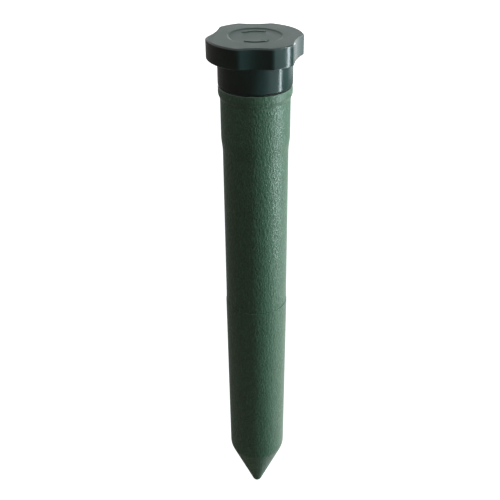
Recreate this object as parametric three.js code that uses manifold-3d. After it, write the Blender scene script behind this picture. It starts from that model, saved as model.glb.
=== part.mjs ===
import * as THREE from 'three';
import { mergeVertices } from 'three/addons/utils/BufferGeometryUtils.js';
import Module from 'manifold-3d';

// A battery-powered ground stake that drives off burrowing animals by humming in the soil.
// Sizes are in millimetres, +Z is up, and the origin is the point of the spike.
// From the bottom: a conical spike with a buzzer motor inside, a tube for four D cells and a screw cap.

const wasm = await Module();
wasm.setup();

// Clearances
const fitGap = 0.3;
const runGap = 0.5;
const cutOverrun = 1;

// Dry cells, one on top of the other, positive button down
const cellCount = 4;
const cellRadius = 16.8;
const cellLength = 61;
const cellEdge = 1.2;
const cellButtonRadius = 4.7;
const cellButtonHeight = 1.6;
const cellClearance = 0.6;

// Lower tube: the spike
const coneHeight = 48.6;
const tipRound = 4.1;
const coneBlend = 16;
const coneWall = 3.2;
const coneFloorRadius = 5;
const lowerBodyHeight = 149.3;
const lowerDraft = 0.75;
const lowerBoreDraft = 0.4;
const lowerEdge = 0.5;

// Lap joint between the tubes
const seamStep = 0.35;
const spigotLength = 12;
const spigotWall = 1.4;
const spigotEdge = 0.5;
const jointSealWidth = 1;
const jointSealHeight = 1.4;

// Upper tube
const boreStep = 1.2;
const boreStepHeight = 3;
const boreDraft = 0.3;
const collarWall = 4;
const collarHeight = 27.1;
const shoulderStep = 0.93;
const shoulderHeight = 11.8;
const upperDraft = 0.18;
const rimHeight = 8.1;
const rimEdge = 0.5;
const rimUnderside = 2.6;
const neckHeight = 17.6;
const neckWall = 2.4;
const neckEdge = 0.5;
const neckRibGap = 1;
const neckAboveCells = 2.8;

// Ribs inside the tubes that keep the cells in line
const guideRibCount = 4;
const guideRibWidth = 1.8;

// Screw cap
const capSealHeight = 0.7;
const threadRoom = 1.4;
const skirtWall = 2.7;
const skirtHeight = 17.6;
const skirtEdge = 0.5;
const headOverhang = 7.2;
const headHeight = 13.5;
const headEdge = 1.1;
const headLowerEdge = 0.6;
const headTopWall = 3.4;
const headDishRadius = 18;
const headDishDepth = 0.6;
const headDishDraft = 0.4;
const gripHollow = 1.45;
const gripCornerRound = 0.9;
const gripPocketWall = 2.2;
const gripPocketLand = 0.8;

// Grip scallops as shares of a full turn: the widths of a front and a side one, and the turn between them
const gripFrontShare = 0.108;
const gripSideShare = 0.129;
const gripSideTurnShare = 0.2014;

// Contacts
const stripThickness = 0.5;
const stripWidth = 5;
const neckRingWidth = 1.9;
const contactFlange = 0.6;
const rivetRadius = 1.5;
const rivetHeadRadius = 3.4;
const rivetHeadHeight = 1.2;
const rivetGrip = 1.9;
const springWire = 1.1;
const springTopRadius = 10;
const springTipRadius = 5.6;
const springTurns = 4;
const plusPlateRadius = 7.5;
const plusTabWidth = 4;
const plusTabDrop = 5;
const plusTabReach = 9.6;

// Drive cradle
const weightBayHeight = 23.4;
const cradleWall = 1.6;
const cradleFloor = 2.5;
const cradleDeck = 2.5;
const windowWidth = 22;
const leadBayHeight = 10.8;
const partsBayHeight = 16.9;
const boardThickness = 1.6;
const boardLedgeHeight = 2.2;
const boardLedgeWidth = 6;
const boardLedgeReach = 2.4;
const seatRibReach = 4.2;
const bossRadius = 3;
const bossPilot = 14;
const cradleScrewInset = 2.2;

// Screws
const screwRadius = 1.1;
const screwHeadRadius = 1.9;
const screwHeadHeight = 1.3;
const cradleScrewLength = 12;
const motorScrewRadius = 1.2;
const motorScrewInset = 4.2;

// Motor
const motorSideGap = 0.8;
const motorWall = 1;
const motorFace = 1.2;
const motorCanLength = 25.8;
const motorEdge = 0.8;
const motorBossRadius = 3.1;
const motorBossHeight = 1.8;
const shaftRadius = 1;
const magnetThickness = 2.6;
const magnetSpan = THREE.MathUtils.degToRad(125);
const magnetInset = 3;
const poleCount = 3;
const poleFaceShare = 0.72;
const poleFaceThickness = 1.4;
const poleNeckWidth = 2.6;
const poleHubRadius = 3;
const armatureInset = 4.6;
const commutatorRadius = 2.4;
const commutatorLength = 2.6;
const endPlugHeight = 2.8;
const endFlangeHeight = 2.4;
const endBossRadius = 3;
const endBossHeight = 1.6;
const endBossWall = 0.7;
const terminalWidth = 2.6;
const terminalHeight = 5;
const terminalThickness = 0.6;
const terminalInset = 4.7;

// Eccentric weight
const weightRadius = 9;
const weightHeight = 9;
const weightHubRadius = 3.4;
const weightDrop = 3;
const shaftTail = 1.2;

// Parts on the circuit board
const chipLength = 9.4;
const chipWidth = 6.4;
const chipHeight = 3.3;
const chipStandoff = 0.6;
const chipLegs = 4;
const chipLegPitch = 2.54;
const chipLegWidth = 0.7;
const chipLegThickness = 0.5;
const chipNotchRadius = 0.9;
const chipNotchDepth = 0.5;
const canRadius = 4;
const canHeight = 11.5;
const canGroove = 0.4;
const canGrooveHeight = 2;
const canEdgeRoom = 2;
const transistorRadius = 2.4;
const transistorFlat = 1.3;
const transistorHeight = 4.6;
const transistorStandoff = 2.4;
const transistorLegPitch = 1.27;
const transistorLegRadius = 0.3;
const transistorEdgeRoom = 3.5;
const resistorRadius = 1.15;
const resistorLength = 6.2;
const resistorWaist = 0.25;
const resistorBandShare = 0.5;
const resistorWaistShare = 0.35;
const resistorLeadRadius = 0.35;
const resistorSpan = 10;
const resistorLift = 2;
const resistorEdgeRoom = 4;
const boardRowGap = 2;
const leadRadius = 0.7;
const feedLeadSpread = 3;
const motorLeadSpread = 2;

// Facets
const tubeSegments = 48;
const smallSegments = 20;
const tinySegments = 12;
const roundSteps = 3;
const blendSteps = 5;
const gripLobeStep = THREE.MathUtils.degToRad(9);
const gripPocketSpan = THREE.MathUtils.degToRad(34);
const gripScallopSteps = 6;
const springSteps = 8;
const springSides = 5;
const arcSteps = 5;
const leadSides = 8;
const leadSteps = 10;

// The other short side of a right triangle
function legOfTriangle(longest, other) {
  return Math.sqrt(longest * longest - other * other);
}

// Radii that follow from the cells outwards
const ribRadius = cellRadius + cellClearance;
const neckBore = ribRadius + neckRibGap;
const neckRadius = neckBore + neckWall;
const capBore = neckRadius + threadRoom;
const skirtRadius = capBore + skirtWall;
const headRadius = skirtRadius + headOverhang;
const collarBore = neckBore + boreStep;
const collarRadius = collarBore + collarWall;
const shoulderRadius = collarRadius - shoulderStep;
const seamBore = collarBore + boreDraft;
const upperSeamRadius = shoulderRadius + upperDraft;
const lowerSeamRadius = upperSeamRadius + seamStep;
const spigotRadius = seamBore + spigotWall;
const socketRadius = spigotRadius + fitGap;
const coneRadius = lowerSeamRadius - lowerDraft;
const coneBore = seamBore - lowerBoreDraft;
const cradleRadius = ribRadius - fitGap;
const cradleBore = cradleRadius - cradleWall;
const boardRadius = cradleBore - fitGap;
const stripRadius = ribRadius + fitGap;
const cradleScrewRing = cradleRadius - cradleScrewInset;
const motorRadius = cradleScrewRing - screwHeadRadius - motorSideGap;
const motorScrewX = motorRadius - motorScrewInset;
const terminalX = motorRadius - terminalInset;

// Places on the board, from its edge inwards: the resistor, then the capacitor and transistor, then the chip
const resistorY = resistorEdgeRoom - boardRadius;
const canY = resistorY + resistorRadius + boardRowGap + canRadius;
const canX = -legOfTriangle(boardRadius - canEdgeRoom - canRadius, canY);
const transistorY = canY + canRadius - transistorRadius;
const transistorX = legOfTriangle(boardRadius - transistorEdgeRoom - transistorRadius, transistorY);
const chipY = canY + canRadius + fitGap + chipLegThickness + chipWidth / 2;

// Heights that follow from the tip upwards
const cradleZ = coneHeight + weightBayHeight;
const motorZ = cradleZ + cradleFloor + fitGap;
const motorCanTopZ = motorZ + motorCanLength;
const endFlangeZ = motorCanTopZ + fitGap;
const endFlangeTopZ = endFlangeZ + endFlangeHeight;
const motorTopZ = endFlangeTopZ + endBossHeight;
const boardZ = motorTopZ + leadBayHeight + fitGap;
const boardTopZ = boardZ + boardThickness;
const deckZ = boardTopZ + partsBayHeight;
const deckTopZ = deckZ + cradleDeck;
const plusPlateZ = deckTopZ + fitGap;
const stackZ = plusPlateZ + stripThickness + fitGap;
const cellPitch = cellLength + fitGap;
const stackTopZ = stackZ + cellCount * cellPitch - fitGap;
const neckTopZ = stackTopZ + neckAboveCells;
const rimTopZ = neckTopZ - neckHeight;
const rimZ = rimTopZ - rimHeight;
const collarZ = rimZ - collarHeight;
const shoulderZ = collarZ - shoulderHeight;
const seamZ = coneHeight + lowerBodyHeight;
const upperSeamZ = seamZ + fitGap;
const spigotZ = upperSeamZ - spigotLength;
const ledgeZ = spigotZ - fitGap - jointSealHeight - fitGap;
const capSealZ = rimTopZ + fitGap;
const skirtZ = capSealZ + capSealHeight + fitGap;
const headZ = skirtZ + skirtHeight;
const capTopZ = headZ + headHeight;
const ceilingZ = capTopZ - headTopWall;
const neckRingZ = neckTopZ + fitGap;
const neckRingTopZ = neckRingZ + stripThickness;
const contactTopZ = ceilingZ - fitGap;
const contactZ = contactTopZ - stripThickness;
const shaftTopZ = motorTopZ - endBossWall - fitGap;
const weightTopZ = cradleZ - weightDrop;
const weightZ = weightTopZ - weightHeight;

// Colours and finishes
const finishes = {
  capPlastic: { color: 0x1c2b2a, roughness: 0.25, metalness: 0 },
  stakePlastic: { color: 0x3f6b55, roughness: 0.55, metalness: 0 },
  rubber: { color: 0x17191a, roughness: 0.8, metalness: 0 },
  springSteel: { color: 0xb9bcc0, roughness: 0.3, metalness: 1 },
  contactBrass: { color: 0xc9a95c, roughness: 0.35, metalness: 1 },
  cellJacket: { color: 0x8b9096, roughness: 0.4, metalness: 0.6 },
  cradlePlastic: { color: 0x3a3d40, roughness: 0.6, metalness: 0 },
  laminate: { color: 0x2f6b3c, roughness: 0.5, metalness: 0 },
  chipBlack: { color: 0x1b1b1d, roughness: 0.6, metalness: 0 },
  canSleeve: { color: 0x24304f, roughness: 0.4, metalness: 0 },
  resistorBody: { color: 0xc8a878, roughness: 0.6, metalness: 0 },
  motorSteel: { color: 0x9a9da1, roughness: 0.35, metalness: 1 },
  ferrite: { color: 0x3b3b3e, roughness: 0.7, metalness: 0 },
  endCapPlastic: { color: 0xd9d6cc, roughness: 0.5, metalness: 0 },
  leadRed: { color: 0xa3221c, roughness: 0.5, metalness: 0 },
  leadBlack: { color: 0x1a1a1a, roughness: 0.5, metalness: 0 },
};

const stake = new THREE.Group();
const weldDistance = fitGap / (tubeSegments * tubeSegments);

function addPiece(name, geometry, finish) {
  const mesh = new THREE.Mesh(geometry, new THREE.MeshStandardMaterial(finishes[finish]));
  mesh.name = name;
  stake.add(mesh);
  return mesh;
}

// Closed meshes to solids and back, for cuts and joins

function toSolid(geometry) {
  const bare = geometry.clone();
  bare.deleteAttribute('normal');
  bare.deleteAttribute('uv');
  const merged = mergeVertices(bare, weldDistance);
  const vertProperties = new Float32Array(merged.attributes.position.array);
  const triVerts = new Uint32Array(merged.index.array);
  return new wasm.Manifold(new wasm.Mesh({ numProp: 3, vertProperties, triVerts }));
}

function toGeometry(solid) {
  const mesh = solid.getMesh();
  const geometry = new THREE.BufferGeometry();
  geometry.setAttribute('position', new THREE.BufferAttribute(new Float32Array(mesh.vertProperties), 3));
  geometry.setIndex(new THREE.BufferAttribute(new Uint32Array(mesh.triVerts), 1));
  geometry.computeVertexNormals();
  return geometry;
}

// Basic shapes, standing on +Z

function vec(x, y) {
  return new THREE.Vector2(x, y);
}

function revolve(points, segments) {
  const inOrder = THREE.ShapeUtils.area(points) > 0 ? points : points.slice().reverse();
  const onAxis = inOrder.some((point) => point.x === 0);
  const turned = [...inOrder];
  if (onAxis) {
    while (turned[0].x !== 0 || turned[turned.length - 1].x !== 0) {
      turned.push(turned.shift());
    }
  } else {
    turned.push(turned[0].clone());
  }
  return new THREE.LatheGeometry(turned, segments).rotateX(Math.PI / 2);
}

function ring(innerRadius, outerRadius, bottomZ, topZ, segments) {
  const points = [
    vec(innerRadius, bottomZ),
    vec(outerRadius, bottomZ),
    vec(outerRadius, topZ),
    vec(innerRadius, topZ),
  ];
  return revolve(points, segments);
}

function rod(radius, bottomZ, topZ, segments) {
  return revolve([vec(0, bottomZ), vec(radius, bottomZ), vec(radius, topZ), vec(0, topZ)], segments);
}

function block(minX, maxX, minY, maxY, minZ, maxZ) {
  const geometry = new THREE.BoxGeometry(maxX - minX, maxY - minY, maxZ - minZ);
  return geometry.translate((minX + maxX) / 2, (minY + maxY) / 2, (minZ + maxZ) / 2);
}

function extrudeUp(shape, bottomZ, topZ) {
  const settings = { depth: topZ - bottomZ, bevelEnabled: false, curveSegments: arcSteps };
  return new THREE.ExtrudeGeometry(shape, settings).translate(0, 0, bottomZ);
}

// Points of the arc that rounds a corner of an outline and touches both of its sides
function roundCorner(before, corner, after, radius, steps) {
  const back = before.clone().sub(corner).normalize();
  const ahead = after.clone().sub(corner).normalize();
  const half = Math.acos(THREE.MathUtils.clamp(back.dot(ahead), -1, 1)) / 2;
  const middle = back.clone().add(ahead).normalize();
  const centre = corner.clone().addScaledVector(middle, radius / Math.sin(half));
  const start = corner.clone().addScaledVector(back, radius / Math.tan(half)).sub(centre);
  const end = corner.clone().addScaledVector(ahead, radius / Math.tan(half)).sub(centre);
  const sweep = Math.atan2(start.x * end.y - start.y * end.x, start.dot(end));
  const points = [];
  for (let step = 0; step <= steps; step += 1) {
    const point = start.clone().rotateAround(vec(0, 0), (sweep * step) / steps);
    points.push(point.add(centre));
  }
  return points;
}

// The lower tube's outside: a rounded tip, the cone, a soft turn and the drafted body
function lowerOutline() {
  const slant = Math.hypot(coneRadius, coneHeight - tipRound);
  const coneAngle = Math.atan2(coneRadius, coneHeight - tipRound) - Math.asin(tipRound / slant);
  const points = [];
  for (let step = 0; step <= roundSteps; step += 1) {
    const angle = THREE.MathUtils.lerp(-Math.PI / 2, -coneAngle, step / roundSteps);
    points.push(vec(tipRound * Math.cos(angle), tipRound + tipRound * Math.sin(angle)));
  }
  points[0].x = 0;
  const tangent = points[points.length - 1];
  const corner = vec(coneRadius, coneHeight);
  const top = vec(lowerSeamRadius, seamZ);
  points.push(...roundCorner(tangent, corner, top, coneBlend, blendSteps));
  points.push(vec(lowerSeamRadius, seamZ - lowerEdge));
  points.push(vec(lowerSeamRadius - lowerEdge, seamZ));
  return points;
}

// The inside of the cone, at the cone's wall from the outside, down to a small flat floor
function coneFloorZ() {
  const rise = (coneHeight - tipRound) / coneRadius;
  return tipRound + (coneFloorRadius + coneWall) * rise;
}

// Bore of the lower tube, widened all round by one amount: no more than the bore itself when that is zero
function lowerBoreOutline(widening) {
  return [
    vec(0, coneFloorZ() - widening),
    vec(coneFloorRadius + widening, coneFloorZ() - widening),
    vec(coneBore + widening, coneHeight),
    vec(seamBore + widening, ledgeZ),
  ];
}

function guideRib(index, outerRadius, bottomZ, topZ) {
  const halfWidth = guideRibWidth / 2;
  const rib = block(ribRadius, outerRadius, -halfWidth, halfWidth, bottomZ, topZ);
  return rib.rotateZ((Math.PI * (2 * index + 1)) / guideRibCount);
}

function lowerTube() {
  const outline = [
    ...lowerOutline(),
    vec(socketRadius, seamZ),
    vec(socketRadius, ledgeZ),
    ...lowerBoreOutline(0).reverse(),
  ];
  const shell = toSolid(revolve(outline, tubeSegments));
  const wallMiddle = (coneRadius - coneBore) / 2;
  const envelope = toSolid(revolve([...lowerBoreOutline(wallMiddle), vec(0, ledgeZ)], tubeSegments));
  const seatZ = cradleZ - fitGap;
  const ribsZ = coneFloorZ();
  let ribs = toSolid(rod(bossRadius, ribsZ, seatZ, tinySegments).translate(0, cradleScrewRing, 0));
  ribs = ribs.add(toSolid(rod(bossRadius, ribsZ, seatZ, tinySegments).translate(0, -cradleScrewRing, 0)));
  for (const side of [0, 1, 2, 3]) {
    const reach = side % 2 === 0 ? cradleRadius - seatRibReach : cradleScrewRing;
    const halfWidth = guideRibWidth / 2;
    const rib = block(reach, coneRadius, -halfWidth, halfWidth, ribsZ, seatZ);
    ribs = ribs.add(toSolid(rib.rotateZ((side * Math.PI) / 2)));
  }
  for (let index = 0; index < guideRibCount; index += 1) {
    ribs = ribs.add(toSolid(guideRib(index, coneRadius, ribsZ, ledgeZ)));
  }
  let tube = shell.add(ribs.intersect(envelope));
  for (const side of [-1, 1]) {
    const pilot = rod(screwRadius + fitGap, seatZ - bossPilot, seatZ + cutOverrun, tinySegments);
    tube = tube.subtract(toSolid(pilot.translate(0, side * cradleScrewRing, 0)));
  }
  return toGeometry(tube);
}

function upperTube() {
  const outline = [
    vec(seamBore, spigotZ),
    vec(spigotRadius - spigotEdge, spigotZ),
    vec(spigotRadius, spigotZ + spigotEdge),
    vec(spigotRadius, upperSeamZ),
    vec(upperSeamRadius, upperSeamZ),
  ];
  for (let step = 0; step <= blendSteps; step += 1) {
    const share = step / blendSteps;
    const swell = THREE.MathUtils.smoothstep(share, 0, 1);
    outline.push(vec(shoulderRadius + shoulderStep * swell, shoulderZ + shoulderHeight * share));
  }
  outline.push(
    vec(collarRadius, rimZ),
    vec(skirtRadius, rimZ + rimUnderside),
    vec(skirtRadius, rimTopZ - rimEdge),
    vec(skirtRadius - rimEdge, rimTopZ),
    vec(neckRadius, rimTopZ),
    vec(neckRadius, neckTopZ - neckEdge),
    vec(neckRadius - neckEdge, neckTopZ),
    vec(neckBore, neckTopZ),
    vec(neckBore, rimZ),
    vec(collarBore, rimZ - boreStepHeight),
  );
  let tube = toSolid(revolve(outline, tubeSegments));
  for (let index = 0; index < guideRibCount; index += 1) {
    const intoWall = collarBore + (shoulderRadius - collarBore) / 2;
    tube = tube.add(toSolid(guideRib(index, intoWall, spigotZ + spigotEdge, rimZ)));
  }
  return toGeometry(tube);
}

function jointSeal() {
  const middleRadius = (seamBore + socketRadius) / 2;
  const halfWidth = jointSealWidth / 2;
  const bottomZ = ledgeZ + fitGap;
  const outline = [];
  for (let step = 0; step < leadSides; step += 1) {
    const angle = (2 * Math.PI * step) / leadSides;
    const height = (jointSealHeight / 2) * (1 + Math.sin(angle));
    outline.push(vec(middleRadius + halfWidth * Math.cos(angle), bottomZ + height));
  }
  return revolve(outline, tubeSegments);
}

// The grip is a circle with four scallops for the fingers, two and two face to face, each dipping a little
// under its chord. Angles run from the front, and the lobes between the scallops keep the full radius.
const gripScallops = [0, Math.PI].flatMap((turn) => [
  { centre: turn, half: Math.PI * gripFrontShare },
  { centre: turn + 2 * Math.PI * gripSideTurnShare, half: Math.PI * gripSideShare },
]);

function gripRadius(angle) {
  for (const { centre, half } of gripScallops) {
    const aside = Math.abs(angle - centre);
    if (aside < half) {
      const chordHalf = headRadius * Math.sin(half);
      const scallopRadius = (chordHalf * chordHalf + gripHollow * gripHollow) / (2 * gripHollow);
      const reach = headRadius * Math.cos(half) - gripHollow + scallopRadius;
      return reach * Math.cos(aside) - legOfTriangle(scallopRadius, reach * Math.sin(aside));
    }
  }
  return headRadius;
}

// Every lobe as the angles between which it keeps the full radius
const gripLobes = gripScallops.map((scallop, place) => {
  const next = gripScallops[(place + 1) % gripScallops.length];
  const turn = next.centre > scallop.centre ? 0 : 2 * Math.PI;
  return { from: scallop.centre + scallop.half, to: next.centre - next.half + turn };
});

// Angles of the head's columns, with the corners between scallops and lobes left out to round them
function gripAngles() {
  const cornerHalf = gripCornerRound / headRadius;
  const angles = [];
  const spread = (from, to, steps) => {
    for (let step = 0; step <= steps; step += 1) {
      angles.push(THREE.MathUtils.lerp(from + cornerHalf, to - cornerHalf, step / steps));
    }
  };
  gripScallops.forEach(({ centre, half }, place) => {
    const { from, to } = gripLobes[place];
    spread(centre - half, centre + half, gripScallopSteps);
    spread(from, to, Math.ceil((to - from) / gripLobeStep));
  });
  return angles;
}

function capOutline() {
  const stepZ = neckRingTopZ + fitGap + contactFlange;
  const cupBore = neckBore + neckRingWidth;
  return [
    vec(0, capTopZ - headDishDepth),
    vec(headDishRadius - headDishDraft, capTopZ - headDishDepth),
    vec(headDishRadius, capTopZ),
    ...roundCorner(vec(0, capTopZ), vec(headRadius, capTopZ), vec(headRadius, headZ), headEdge, roundSteps),
    vec(headRadius, headZ + headLowerEdge),
    vec(headRadius - headLowerEdge, headZ),
    vec(skirtRadius, headZ),
    vec(skirtRadius, skirtZ + skirtEdge),
    vec(skirtRadius - skirtEdge, skirtZ),
    vec(capBore + skirtEdge, skirtZ),
    vec(capBore, skirtZ + skirtEdge),
    vec(capBore, stepZ),
    vec(cupBore, stepZ),
    vec(cupBore, ceilingZ),
    vec(rivetRadius + fitGap, ceilingZ),
    vec(rivetRadius + fitGap, ceilingZ + rivetGrip + fitGap),
    vec(0, ceilingZ + rivetGrip + fitGap),
  ];
}

// The moulding is cored out from below under each lobe, with a rib left under the middle of a wide one
function gripPockets({ from, to }) {
  const innerRadius = skirtRadius + gripPocketLand;
  const outerRadius = headRadius - gripPocketWall;
  const wallHalf = gripPocketWall / innerRadius / 2;
  const count = Math.round((to - from) / gripPocketSpan);
  const pockets = [];
  for (let index = 0; index < count; index += 1) {
    const half = (to - from) / count / 2 - wallHalf;
    const middle = THREE.MathUtils.lerp(from, to, (index + 1 / 2) / count);
    const shape = new THREE.Shape();
    shape.absarc(0, 0, outerRadius, -half, half, false);
    shape.absarc(0, 0, innerRadius, half, -half, true);
    const pocket = extrudeUp(shape, headZ - cutOverrun, ceilingZ);
    pockets.push(toSolid(pocket.rotateZ(middle - Math.PI / 2)));
  }
  return pockets;
}

function screwCap() {
  const angles = gripAngles();
  const body = revolve(capOutline(), angles.length);
  const positions = body.attributes.position;
  const perColumn = positions.count / (angles.length + 1);
  for (let index = 0; index < positions.count; index += 1) {
    const angle = angles[Math.floor(index / perColumn) % angles.length];
    const radius = Math.hypot(positions.getX(index), positions.getY(index));
    const onGrip = radius > skirtRadius + gripPocketLand && positions.getZ(index) >= headZ;
    const shaped = onGrip ? radius - headRadius + gripRadius(angle) : radius;
    positions.setXYZ(index, shaped * Math.sin(angle), -shaped * Math.cos(angle), positions.getZ(index));
  }
  let cap = toSolid(body);
  for (const pocket of gripLobes.flatMap(gripPockets)) {
    cap = cap.subtract(pocket);
  }
  return toGeometry(cap);
}

// Flat gasket that the skirt presses on the tube's rim
function capSealRing() {
  const innerRadius = neckRadius + fitGap;
  return ring(innerRadius, skirtRadius - skirtEdge, capSealZ, capSealZ + capSealHeight, tubeSegments);
}

// A pressed cup under the cap's ceiling, whose rim meets the ring on the neck
function contactCup() {
  const outerRadius = neckBore + neckRingWidth - fitGap;
  const innerRadius = outerRadius - stripThickness;
  const rimZ = neckRingTopZ + fitGap;
  const outline = [
    vec(rivetRadius + fitGap, contactTopZ),
    vec(rivetRadius + fitGap, contactZ),
    vec(innerRadius, contactZ),
    vec(innerRadius, rimZ),
    vec(outerRadius, rimZ),
    vec(outerRadius, contactTopZ),
  ];
  return revolve(outline, tubeSegments);
}

function contactRivet() {
  const headTopZ = contactZ - fitGap;
  const outline = [
    vec(0, headTopZ - rivetHeadHeight),
    vec(rivetHeadRadius / 2, headTopZ - rivetHeadHeight),
    vec(rivetHeadRadius, headTopZ - rivetHeadHeight / 2),
    vec(rivetHeadRadius, headTopZ),
    vec(rivetRadius, headTopZ),
    vec(rivetRadius, ceilingZ + rivetGrip),
    vec(0, ceilingZ + rivetGrip),
  ];
  return revolve(outline, tinySegments);
}

// Conical contact spring: wide turn up against the cup, narrow turn down on the last cell
function springPath() {
  const topZ = contactZ - fitGap - springWire / 2;
  const bottomZ = stackTopZ + fitGap + springWire / 2;
  const points = [];
  const steps = springTurns * springSteps;
  for (let step = 0; step <= steps; step += 1) {
    const share = step / steps;
    const radius = THREE.MathUtils.lerp(springTopRadius, springTipRadius, share);
    const angle = 2 * Math.PI * springTurns * share;
    const height = THREE.MathUtils.lerp(topZ, bottomZ, share);
    points.push(new THREE.Vector3(radius * Math.cos(angle), radius * Math.sin(angle), height));
  }
  return points;
}

// A tube of few sides along a chain of points, its ends closed by a fan
function wireTube(points, radius, sides) {
  const positions = [];
  const index = [];
  const last = points.length - 1;
  points.forEach((point, place) => {
    const before = points[Math.max(place - 1, 0)];
    const after = points[Math.min(place + 1, last)];
    const along = after.clone().sub(before).normalize();
    const outward = new THREE.Vector3(point.x, point.y, 0).normalize();
    const across = along.clone().cross(outward).normalize();
    const up = across.clone().cross(along);
    for (let side = 0; side < sides; side += 1) {
      const angle = (2 * Math.PI * side) / sides;
      const corner = point.clone();
      corner.addScaledVector(up, radius * Math.cos(angle)).addScaledVector(across, -radius * Math.sin(angle));
      positions.push(corner.x, corner.y, corner.z);
    }
  });
  for (let place = 0; place < last; place += 1) {
    for (let side = 0; side < sides; side += 1) {
      const next = (side + 1) % sides;
      const here = place * sides;
      const there = here + sides;
      index.push(here + side, there + next, here + next);
      index.push(here + side, there + side, there + next);
    }
  }
  for (let side = 1; side < sides - 1; side += 1) {
    index.push(0, side, side + 1);
    index.push(last * sides, last * sides + side + 1, last * sides + side);
  }
  const geometry = new THREE.BufferGeometry();
  geometry.setAttribute('position', new THREE.Float32BufferAttribute(positions, 3));
  geometry.setIndex(index);
  geometry.computeVertexNormals();
  return geometry;
}

// Least clear distance between turns of the spring, over points more than half a turn apart
function springSelfGap() {
  const points = springPath();
  let least = Infinity;
  points.forEach((point, place) => {
    points.slice(place + springSteps / 2).forEach((other) => {
      least = Math.min(least, point.distanceTo(other) - springWire);
    });
  });
  return least;
}

// Flat ring on the neck with a lug over the strip's end
function neckRing() {
  const band = toSolid(ring(neckBore, neckBore + neckRingWidth, neckRingZ, neckRingTopZ, tubeSegments));
  const halfWidth = stripWidth / 2;
  const intoBand = neckBore + neckRingWidth / 2;
  const lug = toSolid(block(-halfWidth, halfWidth, stripRadius, intoBand, neckRingZ, neckRingTopZ));
  return toGeometry(band.add(lug));
}

// Flat conductor down the inside of both tubes, its foot turned in over the edge of the board
function returnStrip() {
  const footZ = boardTopZ + fitGap;
  const footRadius = boardRadius - boardLedgeReach;
  const shape = new THREE.Shape([
    vec(footRadius, footZ),
    vec(stripRadius + stripThickness, footZ),
    vec(stripRadius + stripThickness, neckRingZ - fitGap),
    vec(stripRadius, neckRingZ - fitGap),
    vec(stripRadius, footZ + stripThickness),
    vec(footRadius, footZ + stripThickness),
  ]);
  const settings = { depth: stripWidth, bevelEnabled: false };
  const strip = new THREE.ExtrudeGeometry(shape, settings).translate(0, 0, -stripWidth / 2);
  return strip.rotateX(Math.PI / 2).rotateZ(Math.PI / 2);
}

function dryCell(index) {
  const bottomZ = stackZ + (cellCount - index) * cellPitch;
  const bodyZ = bottomZ + cellButtonHeight;
  const topZ = bottomZ + cellLength;
  const outline = [
    vec(0, bottomZ),
    vec(cellButtonRadius, bottomZ),
    vec(cellButtonRadius, bodyZ),
    vec(cellRadius - cellEdge, bodyZ),
    vec(cellRadius, bodyZ + cellEdge),
    vec(cellRadius, topZ - cellEdge),
    vec(cellRadius - cellEdge, topZ),
    vec(0, topZ),
  ];
  return revolve(outline, smallSegments);
}

// Round plate on the deck with a tab bent down through the deck's slot
function plusContact() {
  const plate = toSolid(rod(plusPlateRadius, plusPlateZ, plusPlateZ + stripThickness, smallSegments));
  const half = plusTabWidth / 2;
  const topZ = plusPlateZ + stripThickness;
  const arm = toSolid(block(-half, half, -plusTabReach, 0, plusPlateZ, topZ));
  const tabY = -plusTabReach + stripThickness;
  const tab = toSolid(block(-half, half, -plusTabReach, tabY, deckZ - plusTabDrop, topZ));
  return toGeometry(plate.add(arm).add(tab));
}

// Cage that hangs the board over the motor: floor, two side walls, board ledges and the cells' deck
function driveCradle() {
  let cradle = toSolid(rod(cradleRadius, cradleZ, deckTopZ, tubeSegments));
  cradle = cradle.subtract(toSolid(rod(cradleBore, cradleZ + cradleFloor, deckZ, tubeSegments)));
  const halfWindow = windowWidth / 2;
  const windowZ = cradleZ + cradleFloor;
  const past = cradleRadius + cutOverrun;
  const windows = block(-halfWindow, halfWindow, -past, past, windowZ, deckZ);
  cradle = cradle.subtract(toSolid(windows));
  const halfLedge = boardLedgeWidth / 2;
  const ledgeTopZ = boardZ - fitGap;
  const ledgeBottomZ = ledgeTopZ - boardLedgeHeight;
  for (const side of [0, 1]) {
    const fromX = cradleBore - boardLedgeReach;
    const toX = cradleBore + cradleWall / 2;
    const ledge = block(fromX, toX, -halfLedge, halfLedge, ledgeBottomZ, ledgeTopZ);
    cradle = cradle.add(toSolid(ledge.rotateZ(side * Math.PI)));
  }
  const floorBottomZ = cradleZ - cutOverrun;
  const floorTopZ = cradleZ + cradleFloor + cutOverrun;
  const drill = (radius, x, y) => {
    const hole = rod(radius, floorBottomZ, floorTopZ, tinySegments);
    cradle = cradle.subtract(toSolid(hole.translate(x, y, 0)));
  };
  drill(motorBossRadius + runGap, 0, 0);
  for (const side of [-1, 1]) {
    drill(screwRadius + fitGap, 0, side * cradleScrewRing);
    drill(motorScrewRadius + fitGap, side * motorScrewX, 0);
  }
  const halfSlot = plusTabWidth / 2 + fitGap;
  const slotY = -plusTabReach - fitGap;
  const slotEndY = -plusTabReach + stripThickness + fitGap;
  const slot = block(-halfSlot, halfSlot, slotY, slotEndY, deckZ - cutOverrun, deckTopZ + cutOverrun);
  return toGeometry(cradle.subtract(toSolid(slot)));
}

function panScrew(radius, headUp, seatZ, length) {
  const head = headUp ? screwHeadHeight : -screwHeadHeight;
  const tail = headUp ? -length : length;
  const outline = [
    vec(0, seatZ + head),
    vec(screwHeadRadius / 2, seatZ + head),
    vec(screwHeadRadius, seatZ + head / 2),
    vec(screwHeadRadius, seatZ),
    vec(radius, seatZ),
    vec(radius, seatZ + tail - Math.sign(tail) * radius),
    vec(0, seatZ + tail),
  ];
  return revolve(outline, tinySegments);
}

function circuitBoard() {
  return rod(boardRadius, boardZ, boardTopZ, smallSegments);
}

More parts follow.
